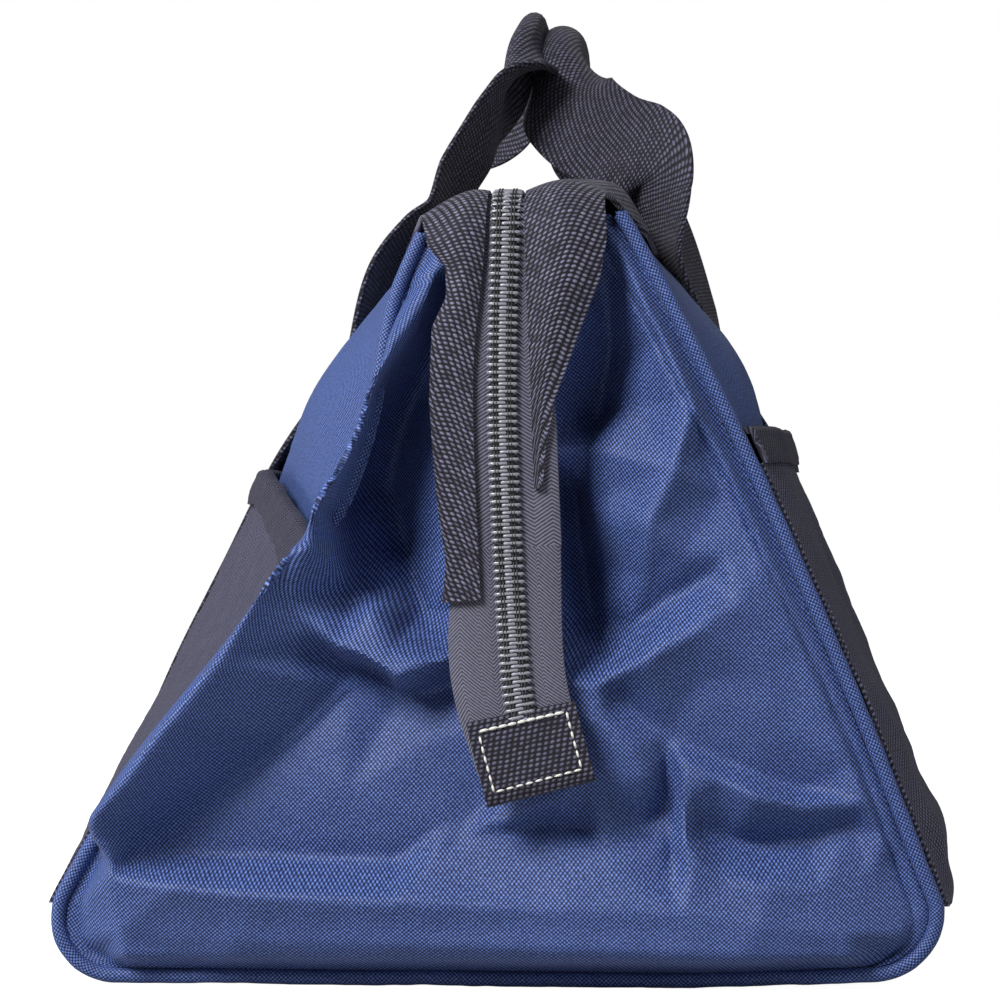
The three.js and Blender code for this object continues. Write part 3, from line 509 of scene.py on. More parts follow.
def woven(name, colours, pitch, roughness, wear, sheen):
    """Oxford cloth: the product of two sines puts a warp float and a weft float by turns on a square
    lattice, a noise of 0.9 mm makes the yarns uneven, and patches of 50 mm vary the dye."""
    deep, body, thread = colours
    material, tree, shader = new_material(name)
    uv, u, v = cloth_coordinates(tree)
    turn = 2 * math.pi / pitch
    su = math_node(tree, "SINE", math_node(tree, "MULTIPLY", u, turn))
    sv = math_node(tree, "SINE", math_node(tree, "MULTIPLY", v, turn))
    floats = math_node(tree, "MULTIPLY_ADD", math_node(tree, "MULTIPLY", su, sv), 0.5, 0.5)
    fine = {"Scale": 1.1, "Detail": 2.0, "Roughness": 0.7}
    yarn = add_node(tree, "ShaderNodeTexNoise", {"Vector": uv}, fine)
    uneven = math_node(tree, "MULTIPLY_ADD", yarn.outputs["Fac"], 0.9, -0.45)
    level = math_node(tree, "ADD", floats, uneven, clamp=True)
    colour = colour_ramp(tree, level, [(0.05, deep), (0.5, body), (0.95, thread)])
    broad = {"Scale": 0.02, "Detail": 4.0, "Roughness": 0.55}
    patches = add_node(tree, "ShaderNodeTexNoise", {"Vector": uv}, broad)
    share = math_node(tree, "MULTIPLY_ADD", patches.outputs["Fac"], wear * 2, 1 - wear)
    dyed = add_node(tree, "ShaderNodeVectorMath", {0: colour, "Scale": share}, operation="SCALE")
    tree.links.new(dyed.outputs[0], shader.inputs["Base Color"])
    rough = math_node(tree, "MULTIPLY_ADD", level, -0.16, roughness + 0.08)
    tree.links.new(rough, shader.inputs["Roughness"])
    relief = add_node(tree, "ShaderNodeBump", {"Height": level}, {"Strength": 0.5, "Distance": 0.00018})
    tree.links.new(relief.outputs["Normal"], shader.inputs["Normal"])
    shader.inputs["Sheen Weight"].default_value = sheen
    shader.inputs["Sheen Roughness"].default_value = 0.4
    shader.inputs["Specular IOR Level"].default_value = 0.35
    return material


def webbing_weave(name, colours, pitch):
    """Heavy polypropylene webbing: oval floats in rows, each row shifted by 0.3 of a float from the next.

    A float's height is 1 minus its squared distance from its middle, measured in its half sizes. All
    floats lean a little to one side, rows sway by a noise of 4 mm, each float has its own brightness,
    and a noise of 0.45 mm parts it into strands."""
    gap_colour, float_colour, tip_colour = colours
    across, along = pitch
    half_across, half_along = 0.47, 0.48
    material, tree, shader = new_material(name)
    uv, u, v = cloth_coordinates(tree)
    sway = add_node(tree, "ShaderNodeTexNoise", {"Vector": uv}, {"Scale": 0.25, "Detail": 2.0})
    shift = math_node(tree, "MULTIPLY_ADD", sway.outputs["Fac"], 0.5, -0.25)
    row = math_node(tree, "ADD", math_node(tree, "DIVIDE", v, along), shift)
    row_number = math_node(tree, "FLOOR", row)
    column = math_node(tree, "MULTIPLY_ADD", row_number, 0.3, math_node(tree, "DIVIDE", u, across))
    column_number = math_node(tree, "FLOOR", column)
    fv = math_node(tree, "SUBTRACT", math_node(tree, "FRACT", row), 0.5)
    fu = math_node(tree, "SUBTRACT", math_node(tree, "FRACT", column), 0.5)
    fu = math_node(tree, "MULTIPLY_ADD", fv, 0.3, fu)
    du = math_node(tree, "DIVIDE", math_node(tree, "ABSOLUTE", fu), half_across)
    dv = math_node(tree, "DIVIDE", math_node(tree, "ABSOLUTE", fv), half_along)
    away = math_node(tree, "ADD", math_node(tree, "POWER", du, 2.0), math_node(tree, "POWER", dv, 2.0))
    height = math_node(tree, "SUBTRACT", 1.0, away, clamp=True)
    place = add_node(tree, "ShaderNodeCombineXYZ", {0: column_number, 1: row_number})
    own = add_node(tree, "ShaderNodeTexWhiteNoise", {"Vector": place.outputs[0]}, noise_dimensions="2D")
    brightness = math_node(tree, "MULTIPLY_ADD", own.outputs["Value"], 0.55, 0.6)
    fine = {"Scale": 2.2, "Detail": 2.0, "Roughness": 0.6}
    strands = add_node(tree, "ShaderNodeTexNoise", {"Vector": uv}, fine)
    uneven = math_node(tree, "MULTIPLY_ADD", strands.outputs["Fac"], 0.9, 0.55)
    level = math_node(tree, "MULTIPLY", math_node(tree, "MULTIPLY", height, brightness), uneven, clamp=True)
    colour = colour_ramp(tree, level, [(0.02, gap_colour), (0.35, float_colour), (0.85, tip_colour)])
    tree.links.new(colour, shader.inputs["Base Color"])
    rough = math_node(tree, "MULTIPLY_ADD", level, -0.2, 0.65)
    tree.links.new(rough, shader.inputs["Roughness"])
    relief = add_node(tree, "ShaderNodeBump", {"Height": height}, {"Strength": 0.8, "Distance": 0.0005})
    tree.links.new(relief.outputs["Normal"], shader.inputs["Normal"])
    shader.inputs["Sheen Weight"].default_value = 0.1
    shader.inputs["Specular IOR Level"].default_value = 0.25
    return material


def herringbone(name, deep, light):
    """Zip tape: twill ribs whose slope turns at each column, so that they meet in chevrons.

    The ribs are a sine of the distance along plus a triangle wave of the distance across, and a noise of
    1.1 mm makes them uneven."""
    material, tree, shader = new_material(name)
    uv, u, v = cloth_coordinates(tree)
    slope = math_node(tree, "ADD", v, math_node(tree, "PINGPONG", u, TAPE_COLUMN))
    ribs = math_node(tree, "SINE", math_node(tree, "MULTIPLY", slope, 2 * math.pi / TAPE_RIB))
    fine = {"Scale": 0.9, "Detail": 3.0, "Roughness": 0.7}
    noise = add_node(tree, "ShaderNodeTexNoise", {"Vector": uv}, fine)
    uneven = math_node(tree, "MULTIPLY_ADD", noise.outputs["Fac"], 0.7, 0.15)
    level = math_node(tree, "MULTIPLY_ADD", ribs, 0.45, uneven, clamp=True)
    colour = colour_ramp(tree, level, [(0.05, deep), (0.95, light)])
    tree.links.new(colour, shader.inputs["Base Color"])
    relief = add_node(tree, "ShaderNodeBump", {"Height": level}, {"Strength": 0.6, "Distance": 0.0002})
    tree.links.new(relief.outputs["Normal"], shader.inputs["Normal"])
    shader.inputs["Roughness"].default_value = 0.7
    shader.inputs["Sheen Weight"].default_value = 0.2
    return material


def drawn_nylon(name, colour, roughness):
    """Drawn nylon filament: smooth, with a noise of about 1 mm in its roughness."""
    material, tree, shader = new_material(name)
    place = add_node(tree, "ShaderNodeTexCoord").outputs["Object"]
    noise = add_node(tree, "ShaderNodeTexNoise", {"Vector": place}, {"Scale": 900.0, "Detail": 2.0})
    rough = math_node(tree, "MULTIPLY_ADD", noise.outputs["Fac"], 0.2, roughness - 0.1)
    tree.links.new(rough, shader.inputs["Roughness"])
    shader.inputs["Base Color"].default_value = linear(colour)
    shader.inputs["Specular IOR Level"].default_value = 0.9
    return material


def spun_thread(name, deep, light, ply):
    """Sewing thread: dark lines between its plies, by a sine of the way round plus the way along."""
    material, tree, shader = new_material(name)
    _, u, v = cloth_coordinates(tree)
    slope = math_node(tree, "MULTIPLY", math_node(tree, "ADD", u, v), 2 * math.pi / ply)
    level = math_node(tree, "MULTIPLY_ADD", math_node(tree, "SINE", slope), 0.5, 0.5)
    colour = colour_ramp(tree, level, [(0.0, deep), (0.7, light)])
    tree.links.new(colour, shader.inputs["Base Color"])
    shader.inputs["Roughness"].default_value = 0.6
    return material


def lacquered_zinc(name, colour, rubbed):
    """Die-cast zinc under satin lacquer, rubbed a little brighter in patches by a noise of 3 mm."""
    material, tree, shader = new_material(name)
    place = add_node(tree, "ShaderNodeTexCoord").outputs["Object"]
    noise = add_node(tree, "ShaderNodeTexNoise", {"Vector": place}, {"Scale": 350.0, "Detail": 4.0})
    patches = colour_ramp(tree, noise.outputs["Fac"], [(0.4, colour), (0.75, rubbed)])
    tree.links.new(patches, shader.inputs["Base Color"])
    rough = math_node(tree, "MULTIPLY_ADD", noise.outputs["Fac"], 0.25, 0.2)
    tree.links.new(rough, shader.inputs["Roughness"])
    shader.inputs["Metallic"].default_value = 0.9
    return material


# Dyed Oxford polyester: matt navy with a fine grain that is paler where a yarn faces the light
NAVY = woven("navy_oxford_polyester", ("#080e24", "#27396d", "#6b86cb"), CLOTH_PITCH, 0.62, 0.12, 0.06)
# The same cloth in charcoal: nearly black, duller, with a violet cast
CHARCOAL_COLOURS = ("#0c0c14", "#2c2b3c", "#6c6b86")
CHARCOAL = woven("charcoal_oxford_polyester", CHARCOAL_COLOURS, STEEP_PITCH, 0.7, 0.1, 0.05)
# The charcoal cloth folded double at the pockets' tops, as a darker copy of the same cloth: painted shade
# that makes the hem a darker line
HEM_PAINTED_SHADE = woven("charcoal_hem_painted_shade", ("#08080e", "#201f2c", "#55546c"), STEEP_PITCH, 0.7, 0.1, 0.05)
# Woven polypropylene: rows of plump floats, each with its own small shine, and black gaps between them
HANDLE_COLOURS = ("#0a0911", "#252433", "#58566d")
HANDLE_WEBBING = webbing_weave("polypropylene_handle_webbing", HANDLE_COLOURS, HANDLE_FLOAT)
# The mouth's webbing is a lighter make, and greyer
RIM_COLOURS = ("#0c0b13", "#302f3e", "#73718a")
RIM_WEBBING = webbing_weave("polypropylene_rim_webbing", RIM_COLOURS, RIM_FLOAT)
# Twilled polyester tape: grey chevrons beside the coil
TAPE = herringbone("polyester_zip_tape", "#0e0d15", "#6c6b82")
# Nylon wire drawn and wound: each turn of the coil has a clear, narrow highlight. The dark wire is given a
# light grey colour, a painted highlight that shows under any lamp.
NYLON_PAINTED_HIGHLIGHT = drawn_nylon("drawn_nylon_coil_painted_highlight", "#84848e", 0.3)
# Spun polyester threads: dull black over the coil, and off-white on the tabs
THREAD_DARK = spun_thread("black_sewing_thread", "#08080a", "#26252b", FINE_PLY)
THREAD_WHITE = spun_thread("white_sewing_thread", "#b8b5ad", "#f4f2ec", COARSE_PLY)
# Lacquered die-cast zinc: black with broad soft reflections, and greyer where fingers rub it
METAL = lacquered_zinc("lacquered_zinc", "#2b2d31", "#54565c")
# Fibreboard in a black cover: flat and almost without shine
BOARD = woven("fibreboard_cover", ("#17171b", "#24242a", "#34343c"), BOARD_PITCH, 0.8, 0.12, 0.0)


# Ends
# Creases and crowns of the front gusset's cloth: lines of X, Z and how far each spot stands out of the
# end seam. The cloth is stretched flat between them and then rounded.
FRONT_CREASES = {
    "roll_crown": [
        (-24, 232, 5), (-33, 206, 8), (-42, 180, 11), (-48, 156, 14), (-52, 140, 18), (-60, 122, 22),
        (-70, 106, 24), (-86, 86, 25), (-103, 64, 22), (-116, 50, 16), (-121.5, 37, 14),
    ],
    "roll_inner_edge": [
        (-15, 231, 6), (-21, 206, 10), (-34, 180, 13), (-40, 156, 16), (-42, 141, 17), (-52, 121, 15),
        (-50, 108, 8),
    ],
    "recess_wall": [(-18, 206, -4), (-30, 180, -8), (-35, 156, -8), (-36, 141, -5)],
    "pressed_crease": [
        (-116.5, 39, 9), (-98, 50, 8), (-77, 67, 8), (-61.5, 79.4, 8), (-46, 95, 6), (-36, 101, 2),
    ],
    "base_ridge": [
        (-121.5, 37, 14), (-98, 34, 20), (-77, 32, 21), (-29, 29.5, 21.5), (26, 27, 21), (61, 26, 19.5),
        (85, 21.5, 18), (112, 17.5, 14), (128, 16, 8),
    ],
    "band_dip": [
        (-118, 18, 13), (-80, 15.5, 17.5), (-30, 15, 19), (30, 14, 20), (80, 12, 18), (110, 10, 13),
    ],
    "left_recess": [
        (-12, 228, 0), (-15.5, 206, -8), (-22, 184, -17), (-27, 160, -20), (-27, 140, -17),
        (-26, 128, -10), (-23, 119, -4),
    ],
    "lip": [(-52, 112, 13), (-45, 108, 15), (-29, 99, 16), (-17, 104, 15), (-8, 106, 14)],
    "lip_fold": [(-40, 125, 3), (-35, 121, 10), (-30, 108, 13)],
    "under_lip": [(-46, 101, 3), (-29, 93, 3), (-13, 97, 5)],
    "left_plain": [(-17, 80, 8), (-45, 63, 10), (-14, 52, 11)],
    "left_foot": [(-98, 41, 9), (-60, 41, 9.5), (-30, 41, 11)],
    "behind_zip": [
        (4, 228, 6), (4, 200, 8), (4, 170, 9), (5, 140, 11), (6, 118, 13), (8, 100, 14), (11, 84, 14),
    ],
    "right_recess": [
        (34, 236, 2), (37, 219, -5), (37, 202, -11), (33, 181, -14), (26, 158, -13), (28, 137, -13),
        (31, 118, -8), (35, 106, 1),
    ],
    "seam_side_upper": [
        (42, 236, 4), (52, 212, 6), (60, 200, 7), (72, 174, 7.5), (89, 136, 7), (98, 110, 7), (114, 72, 7),
    ],
    "pucker_crown": [(56, 204, 6), (65, 186, 10), (58.5, 165, 11.5), (50, 147, 10)],
    "pucker_fold": [(43, 185, -4), (30, 172, -3), (24, 165, -2), (31, 154, -4), (38, 147, 1), (50, 147, 10)],
    "diamond_dip": [(66, 172, 6), (73, 157, 5), (76, 148, 6)],
    "slope": [(48, 130, 4), (60, 138, 8), (74, 138, 7.5)],
    "cross_dip": [(44, 114, 0), (58, 124, 4), (70, 131, 6)],
    "cross_crown": [(34.5, 97.5, 13), (50, 106, 14.5), (66, 115, 14), (78, 122.5, 11)],
    "cone_crown": [(34.5, 97.5, 13), (38, 84, 15), (45, 76, 15), (50, 68, 14)],
    "cone_dip": [(38, 93, 9.5), (56, 80, 8.5), (78, 70, 7.5), (98, 62.5, 5)],
    "below_crown": [(66, 98, 10), (84, 100, 9.5), (92, 84, 8.5)],
    "upright_dip": [(56, 77, 8), (56.3, 58, 6.5), (57, 45, 10), (57.5, 34, 15)],
    "upright_crown": [(60, 74, 12), (61, 62, 12.5), (62, 48, 15), (63, 36, 17)],
    "right_crown": [(72, 68, 12), (84, 63, 14), (98, 60, 11)],
    "bowl": [(66, 50, 8), (76, 47, 6), (86, 45.5, 5), (100, 47, 4.5), (114, 52, 4)],
    "below_bowl": [(72, 37, 15), (88, 34, 16), (104, 33, 13), (120, 36, 7)],
    "seam_pinch": [(118, 60, 8), (125, 50, 6)],
    "foot_dip": [(-1, 58, 10), (-10, 47, 12.5), (-20, 37.5, 17)],
    "foot_crown": [(1, 55, 14), (12, 56, 15.5), (22, 60, 15)],
    "foot_hollow": [(14, 52, 10.5), (30, 50.5, 9.5), (49, 52, 8.5)],
    "foot_crease": [(1, 49.5, 13), (28, 47.5, 13.5), (55, 46, 12)],
    "middle_plain": [(24, 36, 18), (40, 40, 16.5), (30, 66, 13.5)],
}
# The rear gusset has the same folded-in top on both halves, without the slump of the front left edge.
REAR_CREASES = {
    "base_ridge": [(0, 28, 20), (60, 27, 19), (90, 22, 17), (112, 17.5, 13), (128, 16, 8)],
    "band_dip": [(0, 14, 19.5), (80, 12, 17), (110, 10, 12)],
    "recess": [
        (33, 234, 2), (36, 216, -7), (36, 200, -13), (34, 180, -17), (31, 158, -17), (31, 137, -13),
        (33, 118, -5),
    ],
    "behind_zip": [
        (0, 228, 6), (0, 200, 8), (0, 170, 9), (0, 140, 11), (0, 118, 13), (0, 100, 14), (0, 84, 14),
    ],
    "seam_side": [(42, 236, 4), (53, 212, 6), (72, 174, 8), (89, 136, 8), (98, 110, 8), (114, 72, 7)],
    "crown": [(56, 204, 6), (62, 184, 11), (60, 160, 12.5), (54, 138, 11)],
    "lip": [(34, 104, 14), (50, 110, 15), (66, 117, 14), (80, 121, 11)],
    "dip": [(38, 92, 10), (60, 80, 9.5), (98, 60, 6)],
    "plain": [(20, 66, 14), (45, 62, 14), (72, 48, 13), (100, 44, 10)],
}
# The rear's lines are given for its right half, and mirrored about this X
REAR_MIDDLE = 4.0
FIELD_STEP = 1.0
FIELD_X = np.arange(-156, 157, FIELD_STEP)
FIELD_Z = np.arange(-4, 262, FIELD_STEP)
# Averages that leave only forms of more than about 2 cm
BROAD_PASSES = 240


def stretched(creases, end):
    """Cloth stretched flat between creases: triangles joined by a constrained Delaunay mesh."""
    spots, ties = [], []
    for line in creases.values():
        start = len(spots)
        spots += line
        ties += [(start + k, start + k + 1) for k in range(len(line) - 1)]
    # The cloth is held at the seams, along the foot and at spots beyond the field.
    heights = np.array([6, 12, 25, 45, 70, 95, 120, 145, 170, 195, 220, 238.0])
    for side in (-1, 1):
        for z in heights:
            seam = float(outline_x(side, end, np.array(z), GUSSET_INSET))
            spots.append((seam, z, SEAM_OUT))
    spots += [(x, 4.0, 12.0) for x in np.linspace(-115, 115, 9)]
    spots += [(x, z, 0.0) for x in (-160.0, 160.0) for z in (-8.0, 60.0, 130.0, 200.0, 266.0)]
    spots += [(x, z, 4.0) for x in (-20.0, 30.0) for z in (-8.0, 266.0)]
    spots = np.array(spots)
    flat = [Vector(p) for p in spots[:, :2].tolist()]
    places, _, triangles, origins, _, _ = delaunay_2d_cdt(flat, ties, [], 0, 0.5)
    known = np.array([spots[o[0], 2] if o else np.nan for o in origins])
    places = np.array([p[:] for p in places])
    # Where two lines cross, the new spot takes the average of its three nearest.
    for k in np.where(np.isnan(known))[0]:
        near = np.argsort(np.linalg.norm(spots[:, :2] - places[k], axis=1))[:3]
        known[k] = spots[near, 2].mean()
    x, z = np.meshgrid(FIELD_X, FIELD_Z, indexing="ij")
    out = np.full(x.shape, SEAM_OUT)
    for a, b, c in triangles:
        pa, pb, pc = places[a], places[b], places[c]
        double = (pb[0] - pa[0]) * (pc[1] - pa[1]) - (pc[0] - pa[0]) * (pb[1] - pa[1])
        if abs(double) < 1e-9:
            continue
        wb = ((x - pa[0]) * (pc[1] - pa[1]) - (pc[0] - pa[0]) * (z - pa[1])) / double
        wc = ((pb[0] - pa[0]) * (z - pa[1]) - (x - pa[0]) * (pb[1] - pa[1])) / double
        inside = (wb >= -1e-6) & (wc >= -1e-6) & (wb + wc <= 1 + 1e-6)
        level = known[a] * (1 - wb - wc) + known[b] * wb + known[c] * wc
        out = np.where(inside, level, out)
    return out


def relaxed(field, passes):
    """Rounds a field by repeated 1-2-1 averages along both axes."""
    for _ in range(passes):
        for axis in (0, 1):
            padded = np.pad(field, [(1, 1) if k == axis else (0, 0) for k in (0, 1)], mode="edge")
            count = field.shape[axis]
            low = np.take(padded, range(count), axis)
            high = np.take(padded, range(2, count + 2), axis)
            field = 0.25 * low + 0.5 * field + 0.25 * high
    return field


def sampled(field, x, z):
    """Bilinear reading of a field: its four nearest values, each by the share of its far corner."""
    i = np.clip((x - FIELD_X[0]) / FIELD_STEP, 0, len(FIELD_X) - 1.001)
    j = np.clip((z - FIELD_Z[0]) / FIELD_STEP, 0, len(FIELD_Z) - 1.001)
    i0, j0 = i.astype(int), j.astype(int)
    a, b = i - i0, j - j0
    return (
        field[i0, j0] * (1 - a) * (1 - b)
        + field[i0 + 1, j0] * a * (1 - b)
        + field[i0, j0 + 1] * (1 - a) * b
        + field[i0 + 1, j0 + 1] * a * b
    )


def pressed(field, passes, strength):
    """Rounds a field, then strengthens what departs from its broad form."""
    field = relaxed(field, passes)
    return field + strength * (field - relaxed(field, BROAD_PASSES))


def crease_field(end):
    """How far the cloth of an end stands out, over a grid of X and Z."""
    if end < 0:
        return pressed(stretched(FRONT_CREASES, end), 3, 1.0)
    both = dict(REAR_CREASES)
    for name, line in REAR_CREASES.items():
        both[name + "_left"] = [(2 * REAR_MIDDLE - x, z, 0.9 * out) for x, z, out in line if x > 0]
    return pressed(stretched(both, end), 5, 0.5)


def distance_to_line(x, z, line):
    """Distance of grid spots from a line of spots, and how far along it the nearest place is, 0 to 1."""
    best = np.full(x.shape, 1e9)
    share = np.zeros(x.shape)
    count = len(line) - 1
    for k in range(count):
        ax, az = line[k][:2]
        dx, dz = line[k + 1][0] - ax, line[k + 1][1] - az
        t = np.clip(((x - ax) * dx + (z - az) * dz) / (dx * dx + dz * dz), 0, 1)
        away = np.hypot(x - ax - t * dx, z - az - t * dz)
        share = np.where(away < best, (k + t) / count, share)
        best = np.minimum(away, best)
    return best, share


def gusset(end, word):
    """An end of the bag: a grid between the two end seams, set out from them by the crease field."""
    columns, rows = 252, 196
    field = crease_field(end)
    u, v = np.meshgrid(np.linspace(0, 1, columns), np.linspace(0, 1, rows), indexing="ij")
    # The columns stand closer towards the left, where the cloth rolls over.
    u = 0.45 * u + 0.55 * u**2 if end < 0 else u
    z = mix(GUSSET_INSET, GUSSET_TOP, v)
    left = outline_x(-1, end, z, GUSSET_INSET - SEAM_BITE)
    right = outline_x(1, end, z, GUSSET_INSET - SEAM_BITE)
    x = mix(left, right, u)
    roll = smooth(38, 56, z) * np.clip((243 - z) / 85, 0, 1) if end < 0 else 0.0 * z
    from_left, from_right, from_foot = x - left, right - x, z - GUSSET_INSET
    hold = smooth(0, mix(8, 4, roll), from_left) * smooth(0, 7, from_right) * smooth(-1, 6, from_foot)
    out = SEAM_OUT + (sampled(field, x, z) - SEAM_OUT) * hold
    # A narrow roll beside the seam, held down by a groove of stitches. The rolled left edge has none.
    groove, swell = 1.6, 1.2
    reach = mix(4.5, 8.5, smooth(60, 200, z))
    for away in (from_right,) if end < 0 else (from_right, from_left):
        out = out - groove * bump(away, reach, 0.9) + swell * bump(away, 0.5 * reach, 0.33 * reach)
    out = out + (0.35 * ripple(x, z, 46, 3 + end) + 0.12 * ripple(x, z, 15, 8 + end)) * hold
    if end < 0:
        # A sharp crease pressed into the cloth stands up as a thin line.
        fin, half_width = 0.9, 1.3
        away, along = distance_to_line(x, z, FRONT_CREASES["pressed_crease"])
        kept = smooth(0, 0.1, along) * (1 - smooth(0.8, 1, along))
        out = out + fin * bump(away, 0, half_width) * kept
    # The cloth stays behind the tapes and their webbing, and turns in at its top.
    near = np.exp(-(((x - zip_x(z)) / ZIP_ZONE) ** 6))
    ceiling = tongue_out(z) - BEHIND_TAPE
    out = mix(out, np.minimum(out, ceiling), near)
    out = out - TOP_TURN * smooth(GUSSET_TOP - 5, GUSSET_TOP, z)
    # The slumped edge rolls over its seam, most at a set distance from it.
    far = from_left / OVERHANG_PLACE
    overhang = OVERHANG * roll * far * np.exp(1 - far)
    x = x - overhang
    outer = np.stack([x, end * (HALF_LENGTH + out), z], -1)
    normal = surface_normals(outer)
    facing = np.sign((normal[..., 1] * end).sum())
    inner = outer - facing * normal * END_CLOTH
    # The yarns follow the broad rise and fall of the cloth only, so that they stay even over the folds.
    broad = sampled(relaxed(field, BROAD_PASSES), x + overhang, z)
    profile = mix(out, SEAM_OUT + (broad - SEAM_OUT) * hold, smooth(6, 30, from_left))
    steps = np.hypot(np.diff(x, axis=0), np.diff(profile, axis=0))
    run = np.vstack([0 * steps[:1], np.cumsum(steps, axis=0)])
    cloth = np.stack([right + run - run[-1], z + 0.5 * broad], -1)
    made = shell(f"{word}_gusset_cloth", outer, inner, NAVY, cloth)
    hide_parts(f"{word}_gusset")
    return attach(made, "carcass")


def base_corner(side, inset, count):
    """The rounded corner between a low wall and the floor: a quarter circle, brought in by an inset."""
    turn = np.linspace(0, math.pi / 2, count)
    radius = BASE_CORNER - inset
    x = side * (HALF_BASE - BASE_CORNER + radius * np.cos(turn))
    return np.stack([x, BASE_CORNER - radius * np.sin(turn)], -1)


def seam_outline(end, inset):
    """The end outline as points from the left shoulder down, along the floor and up to the right one."""
    heights = np.linspace(GUSSET_TOP, BASE_CORNER, 150)
    halves = []
    for side in (-1, 1):
        upper = np.stack([outline_x(side, end, heights, inset), heights], -1)
        halves.append(np.vstack([upper, base_corner(side, inset, 16)[1:]]))
    flat = np.linspace(-1, 1, 120)[1:-1] * (HALF_BASE - BASE_CORNER)
    foot = np.stack([flat, np.full(len(flat), inset)], -1)
    return np.vstack([halves[0], foot, halves[1][::-1]])


def piping(end, word):
    """A cord wrapped in cloth round the end seam: a circle carried along the outline. Its radius and its
    place are a little uneven, and it lies just over the floor."""
    line = seam_outline(end, PIPING_RADIUS)
    run = lengths(line)
    s = np.arange(0, run[-1], 1.5)
    x, z = np.interp(s, run, line[:, 0]), np.interp(s, run, line[:, 1])
    lift = SEAM_BITE + 0.1 + np.maximum(0, 0.5 * ripple(s, 0 * s, 90, 5))
    y = end * (HALF_LENGTH + GAP + PIPING_RADIUS + 0.12 * ripple(s, 0 * s, 70, 1))
    centre = np.stack([x, y, z + lift], -1)
    tangent = unit(np.gradient(centre, axis=0))
    normal = unit(np.cross(tangent, np.array([0.0, 1, 0])))
    radius = PIPING_RADIUS + SEAM_BITE + 0.09 * ripple(s, 0 * s, 25, 2)
    rings = round_rings(centre, normal, np.cross(tangent, normal), radius[:, None, None], 14)
    made = tube(f"{word}_piping_cord", rings, NAVY)
    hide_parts(f"{word}_piping")
    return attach(made, "carcass")


# Long sides, each in a front and a rear half
SIDE_WORD = {-1: "left", 1: "right"}
END_WORD = {-1: "front", 1: "rear"}
# The two ends of each bay of a pocket along Y, and how far its mouth gapes on the left and the right
BAYS = [(-HALF_LENGTH, -114.0, (6.0, 5.0)), (-76.0, 76.0, (7.5, 6.5)), (114.0, HALF_LENGTH, (13.0, 13.0))]


def bend_with_side(made):
    """Bakes the piece's placement into its mesh and returns it."""
    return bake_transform(made)


def slack(side, y, z):
    """Unevenness of the padded side, which dies out at its seams. Its front shoulder is fuller."""
    seams = smooth(0, 30, HALF_LENGTH - np.abs(y)) * smooth(SIDE_START, SIDE_START + 25, z)
    depth, height, spread = (11, 191, 27) if side < 0 else (9.5, 202, 25)
    full = depth * bump(y, -165, 48) * bump(z, height, spread)
    return (full + 1.2 * ripple(y, z, 130, 7 + side)) * seams * (1 - smooth(225, 247, z))


def side_point(side, y, v, offset):
    """A point on a long side at a place along Y and a v, set outwards by an offset and the slack."""
    z = side_height(v)
    return np.stack([side_x(side, y, v) + side * (offset + slack(side, y, z)), y, z], -1)


def half_span(end, count):
    """Places along Y from the middle to the end seam, where the cloth reaches into the piping."""
    return np.linspace(0, end * (HALF_LENGTH + SEAM_BITE), count)


def side_panel(side, end):
    """Half of a padded long side: two grids of side points, a panel's thickness apart."""
    y, v = np.meshgrid(half_span(end, 84), np.linspace(0, 1, 96), indexing="ij")
    outer = side_point(side, y, v, 0.0)
    inner = side_point(side, y, v, -PANEL_THICKNESS)
    made = shell(f"side_panel_{SIDE_WORD[side]}_{END_WORD[end]}", outer, inner, NAVY)
    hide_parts(f"side_panel_{SIDE_WORD[side]}")
    return bend_with_side(made)


def pocket_mouth(side, y):
    """Height of a pocket's top edge: it sinks towards the drawn-in front left seam."""
    if side < 0:
        return 163.0 - 22.0 * np.clip((-150 - y) / 72, 0, 1) + 4 * smooth(-60, 60, y)
    return 176.0 + 0 * y


def stand_off(side, y, share):
    """How far the pocket is from the side: an arch across each bay, opening towards the mouth."""
    total = np.full(np.broadcast(y, share).shape, GAP)
    for low, high, gapes in BAYS:
        across = np.clip(2 * (y - low) / (high - low) - 1, -1, 1)
        arch = 1 - across**4
        gape = gapes[0] if side < 0 else gapes[1]
        total = total + arch * (gape * share**1.2 + 2.0 * np.sin(math.pi * share) * (1 - share))
    held = smooth(-2, 14, HALF_LENGTH - np.abs(y))
    foot = 0.5 * bump(share, 0.2, 0.12) * held
    if side > 0:
        # The bottom front corner of the right pocket bags out over a notch just above the base.
        bag = 6.5 * bump(share, 0.16, 0.1) + 3.0 * bump(share, 0.04, 0.05) + 3.5 * bump(share, 0.38, 0.14)
        foot = foot + bag * held * bump(y, -185, 55)
    else:
        foot = foot + 1.8 * bump(share, 0.55, 0.4) * held * bump(y, -175, 45)
    return total + foot + 0.7 * np.abs(ripple(y, share * 160, 60, 11 + side)) * smooth(0, 0.2, share)


def pocket_surface(side, y, share, extra):
    """A point on a pocket at a place along Y and a share of its height, set out from the side."""
    v = share * profile_at(pocket_mouth(side, y))
    return side_point(side, y, v, stand_off(side, y, share) + extra)


def pocket(side, end):
    """Half of a long side's pocket, as a sheet laid over the side."""
    y, share = np.meshgrid(half_span(end, 112), np.linspace(0, 1, 80), indexing="ij")
    outer = pocket_surface(side, y, share, POCKET_THICKNESS)
    inner = pocket_surface(side, y, share, 0.0)
    made = shell(f"pocket_{SIDE_WORD[side]}_{END_WORD[end]}", outer, inner, CHARCOAL)
    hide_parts(f"pocket_{SIDE_WORD[side]}")
    return bend_with_side(made)


